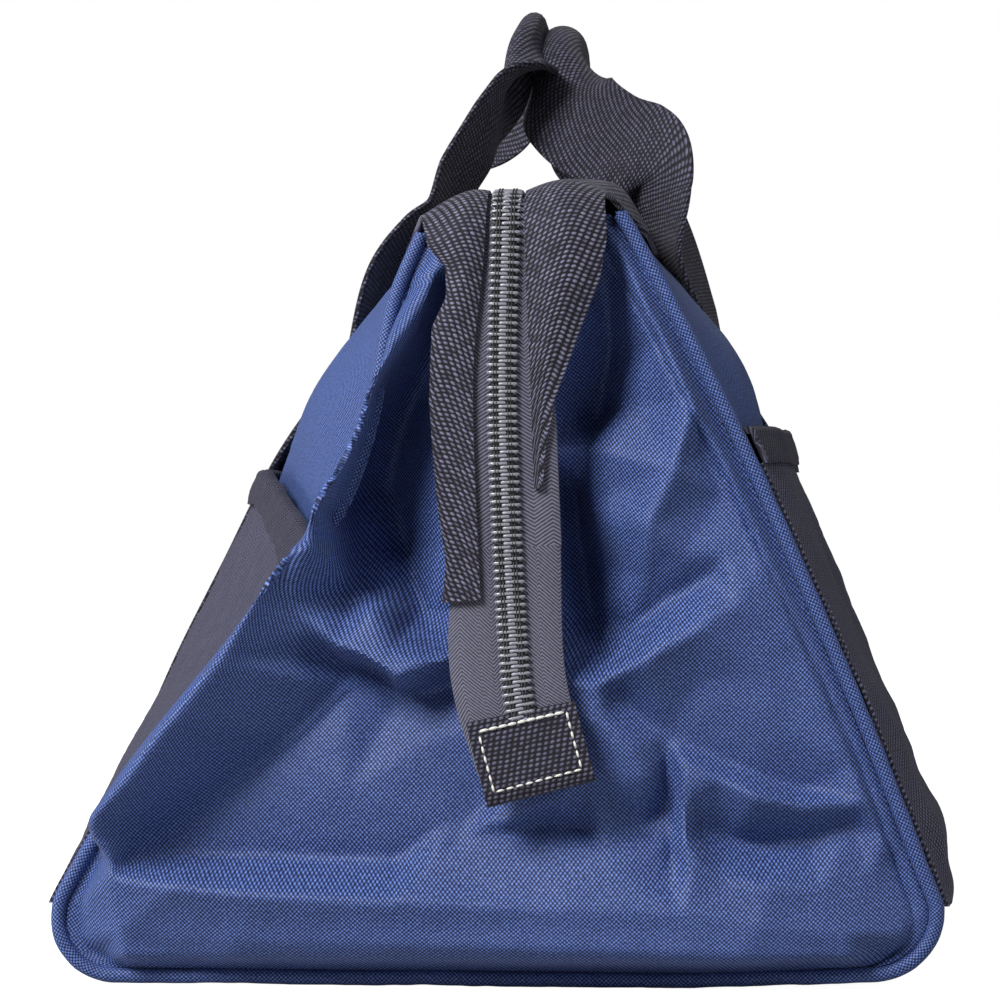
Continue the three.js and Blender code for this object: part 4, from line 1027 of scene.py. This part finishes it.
def pocket_hem(side, end):
    """The turned-down top edge: a band round the edge with a full, rounded top, 9.5 mm deep outside.

    Round its section a point goes down by a share of the depth, out from the pocket and up over it."""
    y = half_span(end, 112)
    turn = np.radians(np.array([20, 50, 90, 130, 160]))
    depth = np.concatenate([[1.0, 0.98, 0.75, 0.5, 0.25, 0.06], 0.0 * turn, [0.06, 0.4, 0.75, 1.0]])
    lift = np.concatenate([[1.0, 3.4, 3.8, 3.9, 3.8, 3.4], 0.9 + 2.4 * np.cos(turn), [-1.3, -1.0, -0.8, 0.0]])
    rise = np.concatenate([np.zeros(6), 2.4 * np.sin(turn), np.zeros(4)])
    low = 1 - HEM_DEPTH / (pocket_mouth(side, y) - SIDE_START)
    sag = 0.5 * ripple(y, 0 * y, 45, 21 + side)
    rings = [
        pocket_surface(side, y, mix(1.0, low, d), off) + np.stack([0 * y, 0 * y, up + sag], -1)
        for d, off, up in zip(depth, lift, rise)
    ]
    made = tube(f"pocket_hem_{SIDE_WORD[side]}_{END_WORD[end]}", np.stack(rings, 1), HEM_PAINTED_SHADE)
    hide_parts(f"pocket_hem_{SIDE_WORD[side]}")
    return bend_with_side(made)


# Stitches
STITCH_ALONG = np.linspace(-0.5, 0.5, 5)
STITCH_ROUND = np.linspace(0, 2 * math.pi, 6, endpoint=False)


def stitch_row(name, path, up, material, length, space, radius):
    """A row of sewn stitches: each is a rounded bar that dips into the cloth at both ends. Its thickness
    falls with the fourth power of the way from its middle, and its arch with the square."""
    run = lengths(path)
    middles = np.arange(length / 2, run[-1] - length / 2, length + space)
    normal = np.stack([np.interp(middles, run, up[:, k]) for k in range(3)], -1)
    centre = at_lengths(path, middles)
    after = at_lengths(path, np.minimum(middles + 0.5, run[-1]))
    ahead = unit(after - at_lengths(path, np.maximum(middles - 0.5, 0)))
    normal = unit(normal - ahead * (normal * ahead).sum(-1, keepdims=True))
    aside = np.cross(normal, ahead)
    thick = radius * (1 - (2 * STITCH_ALONG) ** 4 * 0.9)
    arch = radius * (1.0 - 1.6 * (2 * STITCH_ALONG) ** 2)
    ring = (
        centre[:, None, None]
        + ahead[:, None, None] * (STITCH_ALONG * length)[None, :, None, None]
        + normal[:, None, None] * (arch[:, None] + thick[:, None] * np.sin(STITCH_ROUND))[None, :, :, None]
        + aside[:, None, None] * (thick[:, None] * np.cos(STITCH_ROUND))[None, :, :, None]
    )
    count, n, m = ring.shape[:3]
    points = ring.reshape(-1, 3)
    i, j = np.meshgrid(np.arange(n - 1), np.arange(m), indexing="ij")
    here, there = i * m, (i + 1) * m
    following = (j + 1) % m
    one = np.stack([here + j, there + j, there + following, here + following], -1).reshape(-1, 4)
    caps = np.array([[0, 1, 2, 3], [0, 3, 4, 5]])
    one = np.vstack([one, caps, ((n - 1) * m + caps)[:, ::-1]])
    faces = (one[None] + (np.arange(count) * n * m)[:, None, None]).reshape(-1, 4)
    if volume(points[: n * m], one) < 0:
        faces = faces[:, ::-1]
    around = np.tile(np.arange(m) * radius, n * count)
    along = np.tile(np.repeat(STITCH_ALONG * length, m), count)
    return make_piece(name, points, faces, np.stack([around, along], -1), material, sharp=80)


# Zip
TAPE_STEP = 2.0


def chain_bow(s):
    """Each half of the chain parts round the sliders in the middle of the ridge."""
    return CHAIN_BOW * (1 - smooth(6, 13.5, s))


def tape_strip(name, end, side, s, inner, outer):
    """A strip of tape at places along the zip's path, between two distances from the chain's middle."""
    points, right, out = frames(end, s)
    a, b = side * inner, side * outer
    rings = band_rings(points, right, out, np.minimum(a, b), np.maximum(a, b), TAPE_THICKNESS, edge=0.3)
    return tube(name, rings, TAPE)


def tape_piece(side, end):
    """The zip tape from the middle of the ridge to its loose end. It is wider below the ridge."""
    s = np.linspace(0.0, SPLIT, int(SPLIT / TAPE_STEP))
    inner = TAPE_INNER + chain_bow(s)
    outer = mix(TAPE_OUTER, TAPE_OUTER_LOW, smooth(RIDGE_HALF + 50, RIDGE_HALF + 90, s))
    return tape_strip(f"zip_tape_{SIDE_WORD[side]}_{END_WORD[end]}", end, side, s, inner, outer)


def squared(value, power):
    """A sine or cosine with fuller crests: its size to a power below 1, with its sign."""
    return np.sign(value) * np.abs(value) ** power


def coil(name, end, side, start, stop):
    """A flattened helix. Each turn lies square across the chain on top, from the interlocked head to the
    heel, and moves on by 2.4 mm on its way back below. The other side is half a turn out of step."""
    turns = round((stop - start) / TURN_PITCH)
    pitch = (stop - start) / turns
    per_turn = 16
    t = np.arange(turns * per_turn + 1) / per_turn
    whole, part = np.floor(t), t % 1
    angle = 2 * math.pi * part
    s = start + (whole + smooth(0.5, 1, part) + (0.0 if side < 0 else 0.5)) * pitch
    across = mix(-0.9, CHAIN_HALF - 0.5, 0.5 - 0.5 * squared(np.cos(angle), 0.75))
    lift = CHAIN_BASE + 1.15 + 0.7 * squared(np.sin(angle), 0.6)
    points, right, out = frames(end, s)
    centre = points + right * (side * (across + chain_bow(s)))[:, None] + out * lift[:, None]
    tangent = unit(np.gradient(centre, axis=0))
    normal = unit(out - tangent * (out * tangent).sum(-1, keepdims=True) + 1e-6 * right)
    # The wire is flattened and widened at its head, where it locks behind the turns of the other side.
    radius = WIRE_RADIUS + WIRE_HEAD * bump(across, -0.6, 0.7)
    rings = round_rings(centre, normal, np.cross(tangent, normal), radius[:, None, None], 6)
    return tube(name, rings, NYLON_PAINTED_HIGHLIGHT)


def filler_cord(name, end, side, start, stop):
    """The twisted cord inside the turns of a coil: a flattened tube."""
    s = np.arange(start, stop, 2.0)
    points, right, out = frames(end, s)
    across = side * (FILLER_PLACE + chain_bow(s))
    centre = points + right * across[:, None] + out * (CHAIN_BASE + FILLER_LIFT)
    rings = round_rings(centre, FILLER_HALF[0] * right, FILLER_HALF[1] * out, 1.0, 10)
    return tube(name, rings, THREAD_DARK)


def coil_threads(name, end, side, start, stop):
    """Two sewing threads that hold the coil, and the cord in it. A thread rises over each turn and sinks
    between turns, by a cosine of the way along."""
    parts = []
    s = np.arange(start, stop, TURN_PITCH / 4)
    points, right, out = frames(end, s)
    phase = 2 * math.pi * (s - start) / TURN_PITCH + (0 if side < 0 else math.pi)
    lift = CHAIN_BASE + THREAD_LIFT + THREAD_WAVE * np.cos(phase)
    for index, place in enumerate(THREAD_PLACES):
        centre = points + right * (side * (place + chain_bow(s)))[:, None] + out * lift[:, None]
        rings = round_rings(centre, right, out, THREAD_RADIUS, 5)
        parts.append(tube(f"{name}_{index}", rings, THREAD_DARK))
    parts.append(filler_cord(f"{name}_cord", end, side, start, stop))
    return join(name, parts)


def mouth_webbing(side, end):
    """Webbing along the mouth and down over the end, as one strip. Along the ridge its section rolls
    from beside the chain over a crown and down outside the long side; over the end it lies flat."""
    foot_z = 124.0 if side < 0 else 158.0
    stop = length_at_height(foot_z)
    s = np.linspace(0, stop, int(stop / 1.8))
    points, right, out = frames(end, s)
    w = np.linspace(0, 1, 15)
    y = end * np.minimum(np.abs(points[:, 1]), RIDGE_HALF)
    edge = np.abs(side_x(side, y, 1.0) - RIDGE_X)
    low_edge = np.abs(side_x(side, y, profile_at(239.0)) - RIDGE_X)
    # The inner edge lies against the chain on the crest, and uncovers a strip of tape further down.
    near = mix(6.4, 9.2, smooth(RIDGE_HALF + 12, RIDGE_HALF + 75, s))
    # Section along the ridge: spots across and up from the path, then drawn as a smooth curve.
    spots_across = [near + share * (edge - near) for share in (0.0, 0.3, 0.62, 0.88)]
    spots_across = np.stack([*spots_across, edge + 1.2, low_edge + 1.2], -1)
    heights = (1.3, 2.0, 1.5, 0.2, -3.8, -12.0) if side < 0 else (1.8, 5.6, 7.0, 5.6, -0.5, -10.5)
    spots_up = np.stack([height + 0 * s for height in heights], -1)
    weights = np.stack([smooth_weights(len(heights), k, w) for k in range(len(heights))], 0)
    ridge_across, ridge_up = spots_across @ weights, spots_up @ weights
    # Over the end the strip is flat, and its outer edge is drawn in on the way down.
    down = s - (RIDGE_HALF + 6)
    flat_across = near[:, None] + (drop_edge(side, points[:, 2]) - near)[:, None] * w
    belly = 1.4 if side < 0 else 3.2
    flat_up = 1.6 + belly * np.sin(math.pi * w)[None, :] * (1 - smooth(30, 80, down))[:, None]
    share = smooth(-26, 10, down)[:, None]
    across, up = mix(ridge_across, flat_across, share), mix(ridge_up, flat_up, share)
    across = across + chain_bow(s)[:, None] * (1 - w)
    surface = points[:, None] + right[:, None] * (side * across)[..., None] + out[:, None] * up[..., None]
    normal = surface_normals(surface)
    if (normal * out[:, None]).sum() < 0:
        normal = -normal
    top = surface + normal * RIM_WEBBING_THICKNESS
    made = shell(f"mouth_webbing_{SIDE_WORD[side]}_{END_WORD[end]}", swap(top), swap(surface), RIM_WEBBING)
    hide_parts(f"rim_webbing_{SIDE_WORD[side]}", f"{END_WORD[end]}_drop_webbing_{SIDE_WORD[side]}")
    return bend_with_side(made)


def swap(grid):
    """The same grid with its two axes exchanged, so that across comes first."""
    return np.swapaxes(grid, 0, 1)


def smooth_weights(count, index, w):
    """Weight of one of count evenly spaced knots in a Catmull-Rom curve through all of them."""
    values = np.zeros(count)
    values[index] = 1.0
    padded = np.concatenate([[2 * values[0] - values[1]], values, [2 * values[-1] - values[-2]]])
    t = w * (count - 1)
    k = np.minimum(t.astype(int), count - 2)
    f = t - k
    p0, p1, p2, p3 = (padded[k + d] for d in range(4))
    square = 2 * p0 - 5 * p1 + 4 * p2 - p3
    cube = 3 * p1 - p0 - 3 * p2 + p3
    return 0.5 * (2 * p1 + (p2 - p0) * f + square * f**2 + cube * f**3)


def drop_edge(side, z):
    """Outer edge of the webbing over the end, from the middle of the chain, by height."""
    if side < 0:
        heights = [118, 122, 126, 136, 155, 187, 209, 219, 230, 240, 260]
        widths = [20, 22, 21, 19.5, 21.5, 23, 22, 17.5, 18, 24, 30]
    else:
        heights = [158, 171, 187, 206, 225, 238, 254, 262]
        widths = [12, 13.5, 17, 23, 29.5, 31.5, 30, 30]
    return np.interp(z, heights, widths)


def tail_pieces(end):
    """The loose end of the zip: the tapes, coils and threads of both sides, and the end tab."""
    word = END_WORD[end]
    made = []
    s = np.linspace(SPLIT, PATH_LENGTH - TAB_LAYER, int((PATH_LENGTH - TAB_LAYER - SPLIT) / TAPE_STEP))
    foot = TAB_ROOF + TAB_CLEARANCE
    for side in (-1, 1):
        inner = TAPE_INNER + 0 * s
        outer = TAPE_OUTER_LOW + (3.5 if side < 0 else -1.5) * bump(s, SPLIT + 34, 26)
        tape = tape_strip(f"{word}_tail_tape_{SIDE_WORD[side]}_cloth", end, side, s, inner, outer)
        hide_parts(f"{word}_tail_tape_{SIDE_WORD[side]}")
        turns = coil(f"{word}_tail_coil_{SIDE_WORD[side]}_turns", end, side, SPLIT, foot)
        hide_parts(f"{word}_tail_coil_{SIDE_WORD[side]}")
        threads = coil_threads(f"{word}_tail_threads_{SIDE_WORD[side]}", end, side, SPLIT, foot)
        made += [tape, turns, threads]
    made += end_tab(end)
    for one in made:
        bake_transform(one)
    return made


def end_tab(end):
    """Webbing folded over the end of the tapes: a sheet that runs down outside them, round their end and
    up again inside, and its stitches."""
    word = END_WORD[end]
    s = np.concatenate([np.linspace(TAB_ROOF, PATH_LENGTH - 0.3, 18), [PATH_LENGTH + 0.6]])
    outside = np.concatenate([np.full(17, TAB_LIFT), [1.0, 0.4]])
    loop_s = np.concatenate([s, s[::-1]])
    lift = np.concatenate([outside, np.full(len(s), -0.35)])
    layer = np.where(lift > 0, TAB_LAYER, -TAB_LAYER)
    width = np.linspace(-0.5, 0.5, 22) * TAB_WIDTH
    points, right, out = frames(end, np.minimum(loop_s, PATH_LENGTH))
    # Past the path's end the sheet goes straight on.
    tangent = unit(points[17] - points[10])
    centre = points + tangent * np.maximum(loop_s - PATH_LENGTH, 0)[:, None]
    middle = centre[:, None] + right[:, None] * width[None, :, None]
    outer = middle + (out * (lift + layer)[:, None])[:, None]
    inner = middle + (out * lift[:, None])[:, None]
    tab = shell(f"{word}_end_tab_webbing", swap(outer), swap(inner), HANDLE_WEBBING)
    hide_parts(f"{word}_end_tab")
    return [tab, *tab_stitches(end)]


def tab_stitches(end):
    """A rectangle of white stitches 3.2 mm inside the tab's edges. Its upper row is sewn tighter."""
    word = END_WORD[end]
    margin = 3.2
    half = TAB_WIDTH / 2 - margin
    low, high = PATH_LENGTH - margin, TAB_ROOF + margin
    corners = [(-half, high), (half, high), (half, low), (-half, low), (-half, high)]
    t = np.linspace(0, 1, 30)
    rows = []
    for index, ((a0, s0), (a1, s1)) in enumerate(zip(corners[:-1], corners[1:])):
        points, right, out = frames(end, mix(s0, s1, t))
        path = points + right * mix(a0, a1, t)[:, None] + out * (TAB_LIFT + TAB_LAYER + 0.15)
        length, space, radius = (3.4, -0.4, 0.5) if index == 0 else (2.6, 0.5, 0.38)
        name = f"{word}_tab_stitches_{index}"
        rows.append(stitch_row(name, path, out, THREAD_WHITE, length, space, radius))
    made = join(f"{word}_tab_stitches", rows)
    return [made]


# Handles
# Each handle rises from the front of the side, runs over the mouth and falls behind. A row of rising or
# falling holds the share of the way from the stitching's end to the rim, the way off the side beyond the
# strap's offset, the place along Y in strap reaches and the turn. A row of over holds X from the ridge,
# Z over the crown, Y and the turn. A turn is in quarter turns.
HANDLES = {
    -1: {
        "rising": [[0.16, 0.8, -1, 0], [0.48, 7.4, -1, -0.03], [0.78, 10.5, -0.985, -0.06]],
        "over": [
            [-43.5, -11.5, -92, -0.08], [-35, -4, -90, -0.05], [-29, 9, -87, -0.1], [-19, 27, -79, -0.05],
            [-12, 42, -68, 0.1], [-6, 54, -54, 0.4], [-3.5, 65, -38, 0.8], [-3, 71.5, -18, 1],
            [-3, 72, 0, 1], [-3, 70, 18, 1], [-5, 62, 38, 0.7], [-11, 53, 58, 0.3], [-24, 42, 76, 0.2],
            [-38, 28, 88, 0.2], [-46, 10, 93, 0.1],
        ],
        "falling": [[0.5, 5.5, 1, 0.1], [0.22, 2.5, 1, 0]],
    },
    1: {
        "rising": [[0.25, 0.3, -1, 0], [0.55, 0.8, -1, 0.03], [0.85, 3, -1, 0.12]],
        "over": [
            [48, -7, -95, 0.22], [46.5, 3, -95, 0.36], [44, 13, -94, 0.5], [36, 21, -88, 0.56],
            [22, 29, -74, 0.6], [11, 41, -57, 0.68], [8, 56, -40, 0.84], [7.5, 65.5, -20, 0.95],
            [7.5, 68, 0, 1], [7.5, 66, 20, 1], [7, 60, 40, 0.8], [8, 51, 58, 0.6], [13, 40, 75, 0.5],
            [26, 27, 87, 0.3], [44, 12, 93, 0.2],
        ],
        "falling": [[0.62, 8, 1, 0.1], [0.3, 4, 1, 0]],
    },
}


# The sewn part of a handle: shares of the way up to the end of its stitching, and how far off the strap's
# offset it lies there, as it goes over the pocket, the hem and the side above
SEWN = [(0.0, -1.8), (0.2, -1.8), (0.4, -1.8), (0.6, -1.8), (0.8, 0), (0.94, -3.2), (1.0, -3.6)]
# A grip is folded from one height over the crown to another. The fold takes up this way to each side
# of its middle, which hangs below the handle's path.
FOLD_START, FOLD_END = 36, 64
FOLD_REACH = {-1: 5.0, 1: 12.5}
FOLD_DROP = 8.0


def webbing_section(folded, thickness, reach):
    """A cross-section of webbing, flat at 0 and bent to an arch with two hanging edges at 1.

    The middle line turns by up to a half turn over its middle part, as far as the reach to each side,
    and the skin lies half a thickness off it. Returns offsets along the width and the normal, per
    station."""
    count = 27
    middle = slice(count // 2, count // 2 + 1)
    arc = np.linspace(-STRAP_WIDTH / 2, STRAP_WIDTH / 2, count)
    heading = folded[:, None] * math.radians(92) * np.clip(arc / reach, -1, 1)[None, :]
    step = arc[1] - arc[0]
    along, rise = (
        np.concatenate([np.zeros((len(folded), 1)), np.cumsum(part[:, 1:] * step, axis=1)], 1)
        for part in (np.cos(heading), np.sin(heading))
    )
    along = along - along[:, middle]
    rise = rise - rise[:, middle] - folded[:, None] * FOLD_DROP
    half = np.full(count, thickness / 2)
    half[[0, -1]] = thickness / 2 * 0.55
    skin = np.stack([-np.sin(heading) * half, np.cos(heading) * half], -1)
    line = np.stack([along, rise], -1)
    return np.concatenate([line + skin, (line - skin)[:, ::-1]], axis=1)


def handle(side):
    """One length of webbing: sewn up the side, free over the mouth with its twists, folded along the
    grip, and sewn down the side again."""
    word = SIDE_WORD[side]
    rows = HANDLES[side]
    anchor_v = float(profile_at(ANCHOR_HEIGHT))
    off = STRAP_OFFSET + STRAP_THICKNESS / 2

    def on_side(y, v, extra):
        """A spot of the path on the long side, at its offset and an extra."""
        return side_point(side, np.array(float(y)), np.array(float(v)), off + extra)

    foot_up, foot_down = (
        [on_side(y, max(0.004, share * anchor_v), lift) for share, lift in SEWN]
        for y in (-STRAP_REACH, STRAP_REACH)
    )
    rising, falling = (
        [on_side(y * STRAP_REACH, mix(anchor_v, 1, share), lift) for share, lift, y, _ in rows[part]]
        for part in ("rising", "falling")
    )
    over = [np.array([RIDGE_X + x, y, CROWN + z]) for x, z, y, _ in rows["over"]]
    free_turns = [row[3] for row in rows["rising"] + rows["over"] + rows["falling"]]
    turns = [0.0] * len(SEWN) + free_turns + [0.0] * len(SEWN)
    per_span = 16
    path = smooth_path([*foot_up, *rising, *over, *falling, *foot_down[::-1]], per_span)
    turn = np.interp(np.arange(len(path)) / per_span, np.arange(len(turns)), turns)
    for _ in range(10):
        turn[1:-1] = 0.25 * turn[:-2] + 0.5 * turn[1:-1] + 0.25 * turn[2:]
    tangent = unit(np.gradient(path, axis=0))
    flat = unit(np.array([1.0, 0, 0]) - tangent * tangent[:, :1])
    width = np.cross(flat, tangent)
    angle = (turn * math.pi / 2)[:, None]
    width = width * np.cos(angle) + np.cross(tangent, width) * np.sin(angle)
    normal = np.cross(tangent, width)
    folded = smooth(CROWN + FOLD_START, CROWN + FOLD_END, path[:, 2])
    section = webbing_section(folded, STRAP_THICKNESS, FOLD_REACH[side])
    rings = path[:, None] + width[:, None] * section[..., :1] + normal[:, None] * section[..., 1:]
    made = tube(f"handle_{word}_webbing", rings, HANDLE_WEBBING)
    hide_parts(f"handle_{word}", f"strap_{word}_front", f"strap_{word}_rear")
    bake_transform(made)
    return made


# Base
def base_tray():
    """The stiff base's cover: an outline of flat floor, 22 mm corners and low walls, carried along Y."""
    y = np.linspace(-HALF_LENGTH, HALF_LENGTH, 60)
    skins = []
    for inset in (0.0, BASE_THICKNESS):
        left, right = (
            np.vstack([[[side * (HALF_BASE - inset), BASE_WALL]], base_corner(side, inset, 14)])
            for side in (-1, 1)
        )
        x, z = np.vstack([left, right[::-1]]).T
        skins.append(np.stack(np.broadcast_arrays(x[:, None], y, z[:, None]), -1))
    made = shell("base_tray_cloth", *skins, CHARCOAL)
    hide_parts("base_panel")
    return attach(made, "carcass")


def dress(node, material):
    """Gives a node of the CAD a material of the scene in place of its own."""
    node.data.materials.clear()
    node.data.materials.append(material)


def build_bag():
    """Every soft piece, and the finishes of the solids that stay."""
    for end in (-1, 1):
        word = END_WORD[end]
        gusset(end, word)
        piping(end, word)
        for side in (-1, 1):
            hand = SIDE_WORD[side]
            side_panel(side, end)
            pocket(side, end)
            pocket_hem(side, end)
            tape = tape_piece(side, end)
            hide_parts(f"zip_tape_{hand}", f"{word}_drop_tape_{hand}")
            bend_with_side(tape)
            turns = coil(f"zip_coil_{hand}_{word}", end, side, 0.6, SPLIT)
            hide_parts(f"zip_coil_{hand}", f"{word}_drop_coil_{hand}")
            bend_with_side(turns)
            threads = coil_threads(f"zip_threads_{hand}_{word}", end, side, 0.6, SPLIT)
            bend_with_side(threads)
            mouth_webbing(side, end)
        tail_pieces(end)
    for side in (-1, 1):
        handle(side)
    base_tray()
    for name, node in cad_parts.items():
        if name.endswith(("slider", "pull")):
            dress(node, METAL)
    dress(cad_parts["base_board"], BOARD)


# Stage, light and camera
def stage():
    """A grey floor that the camera sees as white, with the shadow near the bag left in it."""
    reach, glow = 40.0, 0.97
    mesh = bpy.data.meshes.new("floor")
    corners = [(-reach, -reach, 0), (reach, -reach, 0), (reach, reach, 0), (-reach, reach, 0)]
    mesh.from_pydata(corners, [], [(0, 1, 2, 3)])
    floor = bpy.data.objects.new("floor", mesh)
    bpy.context.scene.collection.objects.link(floor)
    material, tree, shader = new_material("white_sweep")
    shader.inputs["Base Color"].default_value = linear("#b4b4b4")
    shader.inputs["Roughness"].default_value = 0.9
    shader.inputs["Emission Color"].default_value = (1, 1, 1, 1)
    rays = add_node(tree, "ShaderNodeLightPath")
    seen = math_node(tree, "MULTIPLY", rays.outputs["Is Camera Ray"], glow)
    tree.links.new(seen, shader.inputs["Emission Strength"])
    mesh.materials.append(material)


def area_light(name, place, power):
    """A square soft box of 0.7 m that looks at the front of the bag."""
    aim = Vector((0, -0.15, 0.13))
    data = bpy.data.lights.new(name, "AREA")
    data.shape = "SQUARE"
    data.size = 0.7
    data.energy = power
    light = bpy.data.objects.new(name, data)
    light.location = place
    light.rotation_euler = (aim - Vector(place)).to_track_quat("-Z", "Y").to_euler()
    bpy.context.scene.collection.objects.link(light)


def light_and_camera():
    """A studio that is white to the camera and dim to the bag, four soft boxes, and a long lens that
    looks at the front end from 4 degrees to its right."""
    world = bpy.data.worlds.new("studio")
    bpy.context.scene.world = world
    world.use_nodes = True
    tree = world.node_tree
    tree.nodes.clear()
    soft = add_node(tree, "ShaderNodeBackground", None, {"Color": (0.95, 0.97, 1.0, 1), "Strength": 0.12})
    white = add_node(tree, "ShaderNodeBackground", None, {"Color": (1, 1, 1, 1), "Strength": 1.0})
    rays = add_node(tree, "ShaderNodeLightPath")
    sources = {0: rays.outputs["Is Camera Ray"], 1: soft.outputs[0], 2: white.outputs[0]}
    both = add_node(tree, "ShaderNodeMixShader", sources)
    output = add_node(tree, "ShaderNodeOutputWorld")
    tree.links.new(both.outputs[0], output.inputs["Surface"])
    area_light("left", (-1.8, -0.4, 0.4), 13)
    area_light("left_high", (-0.9, -1.4, 1.3), 46)
    area_light("right", (1.6, -0.7, 0.35), 3)
    area_light("right_high", (1.1, -0.8, 1.4), 5)

    camera = bpy.data.objects.new("camera", bpy.data.cameras.new("camera"))
    bpy.context.scene.collection.objects.link(camera)
    target = Vector((0.0025, -0.222, 0.155))
    turn, distance = math.radians(4), 1.1
    back = Vector((math.sin(turn), -math.cos(turn), 0))
    camera.location = target + back * distance
    camera.rotation_euler = (-back).to_track_quat("-Z", "Y").to_euler()
    camera.data.lens = 124.1
    camera.data.sensor_width = 36
    camera.data.clip_start, camera.data.clip_end = 0.05, 50
    bpy.context.scene.camera = camera
    bpy.context.scene.view_settings.view_transform = "Standard"


build_bag()
stage()
light_and_camera()
